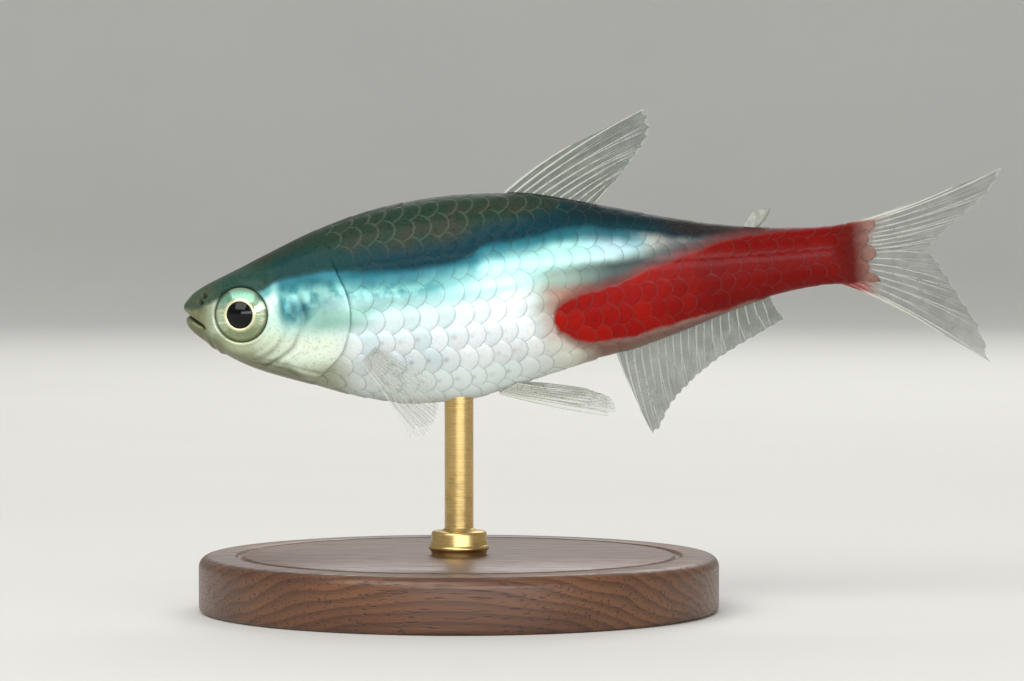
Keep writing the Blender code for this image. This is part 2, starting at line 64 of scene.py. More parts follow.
# Body outline, as (station, distance from the axis), both in standard lengths
BACK = ((0, 0), (0.01, 0.022), (0.03, 0.034), (0.07, 0.050), (0.12, 0.071), (0.235, 0.113),
        (0.316, 0.130), (0.405, 0.137), (0.49, 0.134), (0.61, 0.108), (0.712, 0.080), (0.79, 0.062),
        (0.88, 0.049), (0.95, 0.045), (1.015, 0.049))
BELLY = ((0, 0), (0.01, 0.034), (0.03, 0.053), (0.094, 0.094), (0.164, 0.121), (0.276, 0.157), (0.33, 0.167),
         (0.40, 0.167), (0.473, 0.153), (0.58, 0.128), (0.66, 0.111), (0.739, 0.089),
         (0.824, 0.063), (0.90, 0.046), (0.95, 0.042), (1.015, 0.047))
HALF_WIDTH = ((0, 0), (0.03, 0.036), (0.07, 0.051), (0.12, 0.063), (0.19, 0.073), (0.27, 0.077),
              (0.40, 0.075), (0.50, 0.067), (0.62, 0.053), (0.74, 0.040), (0.86, 0.029),
              (0.95, 0.022), (1.015, 0.015))
WIDEST_HEIGHT = ((0, 0), (0.10, -0.008), (0.30, -0.004), (0.60, 0.0), (1.015, 0.0))
SECTION_FULLNESS = 0.93
# The gill opening, as (girth height, station); girth height runs from -1 at the belly to 1 at the back
GILL_OPENING = ((-1, 0.168), (-0.8, 0.192), (-0.45, 0.230), (-0.1, 0.243), (0.4, 0.226), (1, 0.198))
TAIL_ROOT_BULGE = 0.014
TAIL_THINNING = (0.955, 0.30)  # station where the tail root starts to thin, and what is left at its end

# Skin
GIRTH_COLUMNS = 300
SIDE_CROWDING = 0.16
HEAD_RINGS = 150
HEAD_CROWDING = 1.5  # over 1 sets the rings closer towards the snout
TRUNK_RINGS = 145
COAT_DEPTH = 0.08 * MM  # how far the skin of the trunk lies under the outer face of the scales
COAT_EDGE = 0.035  # length over which nape and throat sink to that depth
TRUNK_START = 0.005  # from the gill opening to the first ring of the trunk
SETTLED = 0.02  # share of the trunk over which it comes up from under the gill cover
SKIN_TONE = 0.6  # what bare skin has in place of a scale's own tone
FIN_FOOT = (0.10 * MM, 0.012)  # height and width of the ridge of skin that a fin grows from
BACK_FOOT = ((0.46, 0.50), (0.60, 0.63))  # stations between which the ridge starts and ends
BELLY_FOOT = ((0.62, 0.65), (0.85, 0.88))

# Head
EYE_STATION = 0.083
EYE_HEIGHT = -0.012
EYE_RADIUS = 1.14 * MM
EYE_DOME = 0.26 * MM
EYE_SINK = 0.04 * MM
EYE_DEPTH = 0.62 * MM
EYE_SEGMENTS = 96
EYE_FRONT = -0.001 * MM  # what lies lower belongs to its back, which has the colour of its edge
LENS = (0.10 * MM, 0.17 * MM)  # how far its middle stands over the eye's dome, and its edge under that
LENS_END = 0.96  # share of the pupil's radius
IRIS_START = 1.24  # share of the pupil's radius
IRIS_END = 0.97  # share of the eye's radius
IRIS_HOLLOW = 0.015 * MM
PUPIL_RADIUS = 0.54 * MM
# The pupil's raised edge: (share of its radius, height over the eye's dome there)
PUPIL_EDGE = ((1.02, -0.020 * MM), (1.08, 0.022 * MM), (1.18, 0.012 * MM))
SEAT_REACH = 2.4 * MM  # how far from the eye's middle the skin is shaped to it
SEAT_BLEND = (1.05, 1.75)  # shares of the eye's radius between which this fades
SEAT_LEVEL = -0.03 * MM
SEAT_RIM = (0.05 * MM, 1.09, 0.07 * MM)  # height, distance as a share of the eye's radius, width
SOCKET_DEPTH = 0.5 * MM
SOCKET_WALL = (0.84, 1.035)  # shares of the eye's radius
MOUTH_CORNER = (0.030, -0.031)
MOUTH_SLOPE = math.radians(40)
MOUTH_DEPTH = 0.24 * MM
MOUTH_WIDTH = 0.0026
LIP_HEIGHT = 0.11 * MM
LIP_WIDTH = 0.009
LIP_FADE = (0.35, 1.05)  # where the lips end, as shares of the way to the mouth's corner
MOUTH_FADE = (0.80, 1.04)
JAW_PLATE_END = (0.043, -0.066)
JAW_PLATE_HEIGHT = 0.06 * MM
JAW_PLATE_WIDTH = 0.004
NOSTRILS = ((0.0245, 0.0105), (0.0305, 0.0195))
NOSTRIL_RADIUS = 0.10 * MM
NOSTRIL_DEPTH = 0.14 * MM
NOSTRIL_RIM = (0.035 * MM, 1.7, 0.45)  # height, then distance and width as shares of the radius
GILL_COVER_LIFT = 0.17 * MM
GILL_COVER_LENGTH = 0.06
GILL_COVER_TOP = (0.2, 0.6)  # girth heights between which its edge sinks into the nape
GILL_COVER_FOOT = (-0.99, -0.84)  # and into the throat
GILL_FLAP_STEP = 0.0005  # between the flap's rings where it has sunk into the skin
CHEEK_TOP = (-0.05, 0.25)  # girth heights between which the cheek's relief fades
CHEEK_FOOT = (-1.02, -0.72)
CHEEK_GROOVE = 0.10 * MM
CHEEK_GROOVE_WIDTH = 0.0045
CHEEK_GROOVE_AHEAD = 0.068  # distance from the groove back to the gill opening
CHEEK_BONE = (0.05 * MM, 0.066, 0.005)  # height, distance from the eye's middle, width
CHEEK_BONE_FADE = (0.085, 0.12)  # station less height
THROAT_FOLDS = (-0.93, -0.86, -0.78)  # girth heights
THROAT_FOLD = (0.03 * MM, 0.018)  # depth, width
THROAT_FOLD_FADE = (0.07, 0.12)
# Painted shade in the nostrils, the cheek's groove, the throat's folds and under the gill cover's edge
PIT_SHADE = 0.9  # how dark these are drawn, against the mouth's slit
GROOVE_SHADE = 0.25
FOLD_SHADE = 0.2
FLAP_SHADE = 0.8

# The edge of the gill cover, ring by ring: (shift of the station, height as a share of the lift, or under 0
# of the depth of the skin beneath)
GILL_FLAP = ((0.0014, 0.90), (0.0022, 0.66), (0.0018, 0.42), (-0.002, 0.20), (-0.008, -0.25), (-0.011, -0.7),
             (-0.008, -1.0), (-0.001, -1.0))
FLAP_INSIDE = range(3, 7)  # its rings that lie in the shade of the cover
UNDER_COVER = 0.08 * MM  # how much deeper the skin lies under the gill cover

# Scales
SCALES_ALONG = 33  # in one row, from the gill opening to the tail fin
SCALE_PITCH = 0.66 * MM
ROW_PITCH = 0.95 * MM
SCALE_LENGTH = 1.42 * MM
SCALE_HEIGHT = 1.40 * MM
SCALE_THICKNESS = 0.012 * MM
SCALE_CROWN = 0.020 * MM
SCALES_START = 0.200
SCALES_END = 1.004
SHORTENING = 0.10  # how much shorter the scales get on the way to the tail
LAST_SCALE = 1.017  # station of the hindmost scale that still shows
SHOWN = 0.72  # share of a scale's length at which the middle of its free part lies
ROW_SLIMMING = 0.48  # how much of a row's height goes with the body's girth
FULL_GIRTH = 0.36  # the station where the rows are highest
EDGE_ROWS = 0.10  # how far past the ridges a row may lie, as a share of its height
BEHIND_GILL = 0.008  # from the gill opening to the first scales
ROWS_EACH_WAY = 7
COLUMNS_AHEAD = 5  # places along a row, ahead of the first, where a scale may still show
RIDGE_COLUMNS_AHEAD = 4
ROW_HEIGHT_SPAN = (0.13, 1.02)  # stations between which the rows' height changes
ARC_TABLE = (190, 241)  # stations, and places round the body, at which arc lengths are worked out
# Rows over the ridges, up to the fins' roots: (lane, spans of stations)
RIDGE_ROWS = ((1, ((0.21, 0.47), (0.615, 0.985))), (-1, ((0.19, 0.455), (0.87, 0.985))))
RIDGE_LIFT = 0.012 * MM
SCALE_LEAN = 1.15  # how far a scale's root lies under its free edge, as a share of the coat's depth
SCALE_SHOULDER = 0.42  # share of a scale's length at which its free part starts
SCALE_ROOT_WIDTH = 0.80
SCALE_FLARE = 0.45  # share of its length over which it widens from its root
SCALE_RIM = 0.85  # share of the way to its edge at which the rim starts to drop
SCALE_RIM_DROP = 0.010 * MM
SCALE_ACROSS = (-1, -0.9, -0.68, -0.36, 0, 0.36, 0.68, 0.9, 1)
SCALE_ALONG = (0, 0.3, 0.55, 0.78, 0.93, 1)
PORE_SCALES = 4  # scales of the middle row with a raised pore
PORE = (0.035 * MM, 0.10)  # height, width
PORE_START = (0.4, 0.6)  # shares of the scale's length between which it rises
MAP_MARGIN = 0.01
PATCH_ON_MAP = 0.003  # how wide each scale lies on the flat map that its colours are kept on
GROWTH_RING = 0.075 * MM  # drawn coarser than in life, so that it shows

# Fins: root and edge; the edge is (share of the fan, station, height), and in a paired fin the
# distance from the middle comes before the height
DORSAL_ROOT = (0.476, 0.610)
DORSAL_EDGE = ((0, 0.588, 0.196), (0.1, 0.700, 0.240), (0.3, 0.707, 0.214), (0.65, 0.677, 0.168),
               (1, 0.650, 0.138))
DORSAL_RAYS = 11
DORSAL_BOW = -0.03
ADIPOSE_ROOT = (0.828, 0.852)
ADIPOSE_EDGE = ((0, 0.858, 0.081), (0.5, 0.875, 0.078), (1, 0.874, 0.066))
ADIPOSE_BOW = -0.09
ANAL_ROOT = (0.630, 0.862)
ANAL_EDGE = ((0, 0.648, -0.172), (0.05, 0.660, -0.208), (0.105, 0.674, -0.240), (0.3, 0.707, -0.197),
             (0.6, 0.768, -0.146), (1, 0.882, -0.088))
ANAL_RAYS = 20
ANAL_BOW = 0.03
UPPER_LOBE_ROOT = 0.046
UPPER_LOBE_EDGE = ((0, 1.150, 0.086), (0.11, 1.228, 0.110), (0.3, 1.208, 0.080), (0.6, 1.158, 0.040),
                   (1, 1.110, 0.003))
UPPER_LOBE_RAYS = 10
UPPER_LOBE_BOW = 0.03
LOWER_LOBE_ROOT = -0.044
LOWER_LOBE_EDGE = ((0, 1.120, -0.132), (0.125, 1.188, -0.180), (0.3, 1.180, -0.140),
                   (0.6, 1.148, -0.076), (1, 1.110, -0.005))
LOWER_LOBE_RAYS = 9
LOWER_LOBE_BOW = -0.03
PELVIC_ROOT = ((0.458, 0.024, -0.164), (0.484, 0.030, -0.152))
PELVIC_EDGE = ((0, 0.610, 0.040, -0.206), (0.15, 0.622, 0.042, -0.200), (0.5, 0.618, 0.045, -0.186),
               (1, 0.584, 0.046, -0.168))
PELVIC_RAYS = 8
PELVIC_BOW = 0.02
PECTORAL_ROOT = ((0.258, 0.080, -0.096), (0.280, 0.082, -0.076))
PECTORAL_EDGE = ((0, 0.318, 0.122, -0.210), (0.2, 0.340, 0.130, -0.208), (0.6, 0.360, 0.131, -0.172),
                 (1, 0.358, 0.124, -0.132))
PECTORAL_RAYS = 11
PECTORAL_BOW = -0.03
MEDIAN_SUNK = 0.22 * MM  # how deep the roots of the unpaired fins lie in the body
LOBE_ROOT_STATION = (0.972, 0.012)  # of a tail lobe's outer ray, and how far behind it the last one is
LOBE_ROOT_HEIGHT = (0.92, 0.002)  # of its outer ray, as a share of its outline's, and of the last one
PELVIC_SUNK = (0.006, 0.006, -0.004)
PECTORAL_SUNK = (0.004, 0.010, 0.0)
MEMBRANE = 0.012 * MM  # half thickness
MEMBRANE_TAPER = (1.6, 0.9)  # at the root, and what it loses on the way to the edge
MEMBRANE_ROWS = 26
MEMBRANE_COLUMNS = 6  # between two rays
SLACK = 0.018 * MM
SLACK_TURN = 2.6  # angle from one ray to the next of the wave that sets to which side the film hangs
SCALLOP = (0.030, 0.008)  # how far the film ends short between two rays, and how much that varies
SCALLOP_WAVES = 7  # half waves of this over the fan
FAN_WAVE = (5.0, 0.6)  # angle that a fan's own wave runs through from first to last ray, and its start
FILM_FLUSH = (0.08, 0.30)  # shares of a ray between which the red of the tail runs out on the film
RAY_FLUSH = (0.10, 0.34)  # and on the rays
RAY_RADIUS = 0.050 * MM
RAY_SIDES = 6
RAY_STEPS = 26  # along a whole ray
LEAST_STEPS = 6  # along the shortest branch
RAY_TAPER = 0.62
LEADING_RAYS = 2.5  # over so many rays the whitish tinge of the first one fades
JOINT_NECK = 0.12  # how much slimmer a ray is at every other joint
JOINTS_START = 0.35
JOINT_SPACING = 0.16 * MM
FIRST_FORK = (0.40, 0.06, 2.1)  # share of the ray's length, how much it varies, and that wave's turn per ray
SECOND_FORK = (0.70, 0.05, 1.7)
BRANCH_START = -0.15  # under 0 makes a branch leave its ray at an angle
TWIG_END = 0.995
# How far the branches part, as shares of the distance between two rays
BRANCH_SPREAD = 0.15
TIP_SPREAD = 0.08  # more at the tips of a ray that forks once
TIPS_SPREAD = (0.25, 0.10)  # the middle of each pair of tips of one that forks twice, and to each side
# Thickness against the foot of a forked ray
WHOLE_RAY = 1.15
FORKED_ONCE = 0.70
FORKED_TWICE = (0.72, 0.52)
ADIPOSE_SIZE = (22, 20)  # columns and rows of its sheets
ADIPOSE_HALF = 0.085 * MM
ADIPOSE_ROUNDING = 0.24
ADIPOSE_LEAST = (0.02, 0.03)  # square of the share of its thickness left at its sides, and at its edge
SHORT_RAYS = 6  # short, stiff rays that lean on the first long ray of a tail lobe
SHORT_RAY_STEP = 0.0085  # from one to the next along the tail
SHORT_RAYS_START = 0.950
SHORT_RAY_SUNK = 0.010
SHORT_RAY_REACH = (0.18, 0.085)  # share of the long ray that the first one reaches, and each more
SHORT_RAY_OFF = (0.05, 0.01)  # how far off the long ray its tip lies, in millimetres, and each more
SHORT_RAY_SIZE = 0.75
SHORT_RAY_TAPER = 0.75
SHORT_RAY_STEPS = 7
SHORT_RAY_LEAD = 0.6  # how whitish they are

# Stand
BASE_RADIUS = 10.8 * MM
BASE_HEIGHT = 2.3 * MM
BASE_FOOT = 0.25 * MM  # rounding of the lower edge
BASE_EDGE = 0.45 * MM
CUT_LINE = (1.7 * MM, 0.20 * MM)  # distance from the edge, radius
CUT_RISE = 0.25  # how far the middle of its arc lies over the disc's top, as a share of its radius
CUT_EDGE = 1.1  # and how far from it the flat starts
ROD_RADIUS = 0.6 * MM
COLLAR_RADIUS = 1.15 * MM
COLLAR_HEIGHT = 0.7 * MM
COLLAR_SEAT = 1.6  # the disc's innermost ring of points, as a share of the collar's radius
COLLAR_BEAD = 0.13 * MM
BEAD_SUNK = 0.02 * MM
COLLAR_ROUND = 0.14 * MM
FILLET = 0.12 * MM
SADDLE = 1.2 * MM  # length of the rod's top that is cut to the belly
GAP = 0.3 * MM
DISC_SEGMENTS = 160
ROD_SEGMENTS = 64
GRAIN_ACROSS = (0.03, 0.45, 0.89)  # direction in which the walnut's growth lines follow one another
GRAIN_SPACING = 0.42 * MM

# Markings: where one colour ends and the next begins, as (station, height)
STRIPE_TOP = ((0, 0.002), (0.03, 0.008), (0.07, 0.021), (0.115, 0.022), (0.14, 0.033), (0.22, 0.041),
              (0.27, 0.036), (0.35, 0.034), (0.42, 0.044), (0.45, 0.059), (0.50, 0.062), (0.56, 0.072),
              (0.62, 0.069), (0.66, 0.062), (0.70, 0.054), (0.74, 0.046), (0.80, 0.042), (0.88, 0.045),
              (1.03, 0.050))
STRIPE_FOOT = ((0, -0.020), (0.14, -0.026), (0.21, -0.030), (0.30, -0.012), (0.45, -0.004), (0.53, 0.012),
               (0.60, 0.020), (0.66, 0.024), (0.70, 0.029), (0.74, 0.036), (1.03, 0.10))
# A line just inside the head's lower edge; a thin strip of painted shade runs under it
THROAT_SHADE_LINE = ((0, -0.030), (0.03, -0.044), (0.07, -0.068), (0.11, -0.081), (0.14, -0.090), (0.17, -0.112),
          (0.20, -0.137), (0.26, -0.17), (1.03, -0.24))
EYE_SPOT = (0.168, -0.012)  # dark patch behind the eye
EYE_SPOT_RADIUS = 0.025
DOTS = (-0.135, -0.066)  # heights between which the low scales carry a dark dot
RED_TOP = ((0, -0.22), (0.522, -0.13), (0.544, -0.062), (0.552, -0.041), (0.568, -0.030), (0.62, -0.019),
           (0.66, -0.007), (0.70, 0.006), (0.74, 0.019), (0.80, 0.033), (0.88, 0.041), (1.03, 0.041))
RED_FOOT = ((0, 0.10), (0.522, 0.01), (0.544, -0.062), (0.558, -0.082), (0.60, -0.097), (0.66, -0.092),
            (0.74, -0.075), (0.80, -0.065), (0.863, -0.053), (0.95, -0.045), (1.03, -0.043))
DOT_ON_SCALE = (0.60, 0.0)  # where on the scale it sits, as shares of its length and half height
DEEP = 0.25  # further from the axis than any skin
LAST_STATION = 1.03


def smooth_curve(points, round_start=False):
    """A smooth curve through the points that never overshoots them.

    With round_start it leaves station 0 upright, as the outline of a blunt snout does."""
    knots = np.array([point[0] for point in points], dtype=float)
    values = np.array([point[1] for point in points], dtype=float)
    if round_start:
        knots = np.sqrt(knots)
    steps = np.diff(knots)
    slopes = np.diff(values) / steps
    tangents = np.zeros(len(points))
    tangents[0] = slopes[0]
    tangents[-1] = slopes[-1]
    for i in range(1, len(points) - 1):
        if slopes[i - 1] * slopes[i] > 0:
            tangents[i] = 2 * slopes[i - 1] * slopes[i] / (slopes[i - 1] + slopes[i])

    def curve(at):
        at = np.asarray(at, dtype=float)
        at = np.sqrt(np.clip(at, 0, None)) if round_start else at
        at = np.clip(at, knots[0], knots[-1])
        i = np.clip(np.searchsorted(knots, at) - 1, 0, len(steps) - 1)
        t = (at - knots[i]) / steps[i]
        rise = (3 - 2 * t) * t * t
        return (values[i] * (1 - rise) + values[i + 1] * rise
                + steps[i] * t * (1 - t) * (tangents[i] * (1 - t) - tangents[i + 1] * t))

    return curve


back = smooth_curve(BACK, round_start=True)
belly = smooth_curve(BELLY, round_start=True)
half_width = smooth_curve(HALF_WIDTH, round_start=True)
widest_height = smooth_curve(WIDEST_HEIGHT)
gill_opening = smooth_curve(GILL_OPENING)


def smooth_step(value, start, end):
    t = np.clip((np.asarray(value, dtype=float) - start) / (end - start), 0, 1)
    return t * t * (3 - 2 * t)


def bump(distance, width):
    """A soft ridge, 1 on its crest and gone about two widths away."""
    return np.exp(-((np.asarray(distance) / width) ** 2))


def sway(x):
    """How far the body is bent aside, a length along it."""
    share = np.clip((x / STANDARD_LENGTH - SWAY_START) / (1 - SWAY_START), 0, None)
    return TAIL_SWAY * share * share / (SWAY_EASE + (1 - SWAY_EASE) * share)


def place(points):
    """Takes points of the level fish to their place in the frame."""
    points = np.asarray(points, dtype=float)
    x = points[..., 0] - ROD_STATION * STANDARD_LENGTH
    z = points[..., 2]
    cosine, sine = math.cos(NOSE_DOWN), math.sin(NOSE_DOWN)
    return np.stack([x * cosine - z * sine, points[..., 1] + sway(points[..., 0]),
                     AXIS_HEIGHT + x * sine + z * cosine], axis=-1)


def plain_body(station, girth):
    """Points of the plain body form."""
    upward = -np.cos(girth)
    outward = -np.sin(girth)
    middle = widest_height(station)
    reach = np.where(upward > 0, back(station) - middle, belly(station) + middle)
    height = middle + reach * np.sign(upward) * np.abs(upward) ** SECTION_FULLNESS
    thinning = 1 - (1 - TAIL_THINNING[1]) * smooth_step(station, TAIL_THINNING[0], 1 + TAIL_ROOT_BULGE)
    width = half_width(station) * thinning * np.sign(outward) * np.abs(outward) ** SECTION_FULLNESS
    return np.stack([station, width, height], axis=-1) * STANDARD_LENGTH


def body_normal(station, girth):
    """Which way the plain body form faces outwards."""
    small = 1e-3
    along = plain_body(station + small, girth) - plain_body(np.maximum(station - small, 0), girth)
    around = plain_body(station, girth + small) - plain_body(station, girth - small)
    normal = np.cross(along, around)
    length = np.linalg.norm(normal, axis=-1, keepdims=True)
    return normal / np.maximum(length, 1e-15)


def surface_at(station, height, side):
    """The point of the plain form at a station and height, and its outward normal."""
    middle = float(widest_height(station))
    reach = float(back(station)) - middle if height > middle else float(belly(station)) + middle
    upward = math.copysign((abs(height - middle) / reach) ** (1 / SECTION_FULLNESS), height - middle)
    girth = np.array([math.acos(-upward)])
    mirror = np.array((1, -side, 1))
    station = np.array([station])
    return plain_body(station, girth)[0] * mirror, body_normal(station, girth)[0] * mirror


def tail_end(girth_height):
    """Station at which the skin ends, round the root of the tail fin."""
    return 1 + TAIL_ROOT_BULGE * (1 - girth_height**2)


def off_segment(station, height, start, end):
    """Distance of each point from a straight stroke between two points."""
    start, end = np.array(start), np.array(end)
    run = end - start
    share = np.clip(((station - start[0]) * run[0] + (height - start[1]) * run[1]) / (run @ run), 0, 1)
    return np.hypot(station - start[0] - run[0] * share, height - start[1] - run[1] * share)


# Materials
def linear(code):
    """An sRGB hex colour as linear red, green, blue and full opacity."""
    parts = [int(code[i:i + 2], 16) / 255 for i in (1, 3, 5)]
    return tuple(c / 12.92 if c <= 0.04045 else ((c + 0.055) / 1.055) ** 2.4 for c in parts) + (1.0,)


def add(tree, kind, sockets=None, **settings):
    """Adds a node with its settings; a socket takes a value or another node's output."""
    made = tree.nodes.new(kind)
    for name, value in settings.items():
        setattr(made, name, value)
    for name, value in (sockets or {}).items():
        if isinstance(value, bpy.types.NodeSocket):
            tree.links.new(value, made.inputs[name])
        else:
            made.inputs[name].default_value = value
    return made


def new_finish(name, **sockets):
    """A material with its Principled shader; the sockets given are the same all over the surface."""
    finish = bpy.data.materials.new(name)
    finish.use_nodes = True
    shader = finish.node_tree.nodes["Principled BSDF"]
    for key, value in sockets.items():
        shader.inputs[key.replace("_", " ")].default_value = value
    return finish, finish.node_tree, shader


def cover(tree, strength, *fades):
    """How far something shows, 0 to 1: its strength times each fade, and a fade is (value, where
    it is gone, where it is full)."""
    for value, gone, full in fades:
        fade = add(tree, "ShaderNodeMapRange", {0: value, 1: gone, 2: full}, interpolation_type="SMOOTHSTEP")
        both = add(tree, "ShaderNodeMath", {0: fade.outputs[0], 1: strength}, operation="MULTIPLY")
        strength = both.outputs[0]
    return strength


def paint(tree, ground, *layers):
    """Lays colours over one another, the last on top; a layer is (colour, strength, fade, ...)."""
    ground = linear(ground)
    for colour, strength, *fades in layers:
        colour = linear(colour) if isinstance(colour, str) else colour
        sockets = {0: cover(tree, strength, *fades), 6: ground, 7: colour}
        ground = add(tree, "ShaderNodeMix", sockets, data_type="RGBA").outputs[2]
    return ground


def height_over(tree, station, height, line):
    """Height of each spot over a line drawn along the fish, in standard lengths, negative below it."""
    share = add(tree, "ShaderNodeMath", {0: station, 1: LAST_STATION}, operation="DIVIDE")
    drawn = add(tree, "ShaderNodeFloatCurve", {"Factor": 1.0, "Value": share.outputs[0]})
    curve = drawn.mapping.curves[0]
    spots = [(x / LAST_STATION, 0.5 + y / (2 * DEEP)) for x, y in line]
    curve.points[0].location = spots[0]
    curve.points[1].location = spots[-1]
    for spot in spots[1:-1]:
        curve.points.new(*spot)
    drawn.mapping.update()
    level = add(tree, "ShaderNodeMath", {0: drawn.outputs[0], 1: 2 * DEEP, 2: -DEEP},
                operation="MULTIPLY_ADD")
    return add(tree, "ShaderNodeMath", {0: height, 1: level.outputs[0]}, operation="SUBTRACT").outputs[0]


def distance_from(tree, vector, spot, stretch=1.0):
    """Distance of a vector from a spot, with its first axis stretched and its third left out."""
    offset = add(tree, "ShaderNodeVectorMath", {0: vector, 1: (*spot, 0.0)}, operation="SUBTRACT")
    level = add(tree, "ShaderNodeVectorMath", {0: offset.outputs[0], 1: (stretch, 1.0, 0.0)},
                operation="MULTIPLY")
    return add(tree, "ShaderNodeVectorMath", {0: level.outputs[0]}, operation="LENGTH").outputs["Value"]


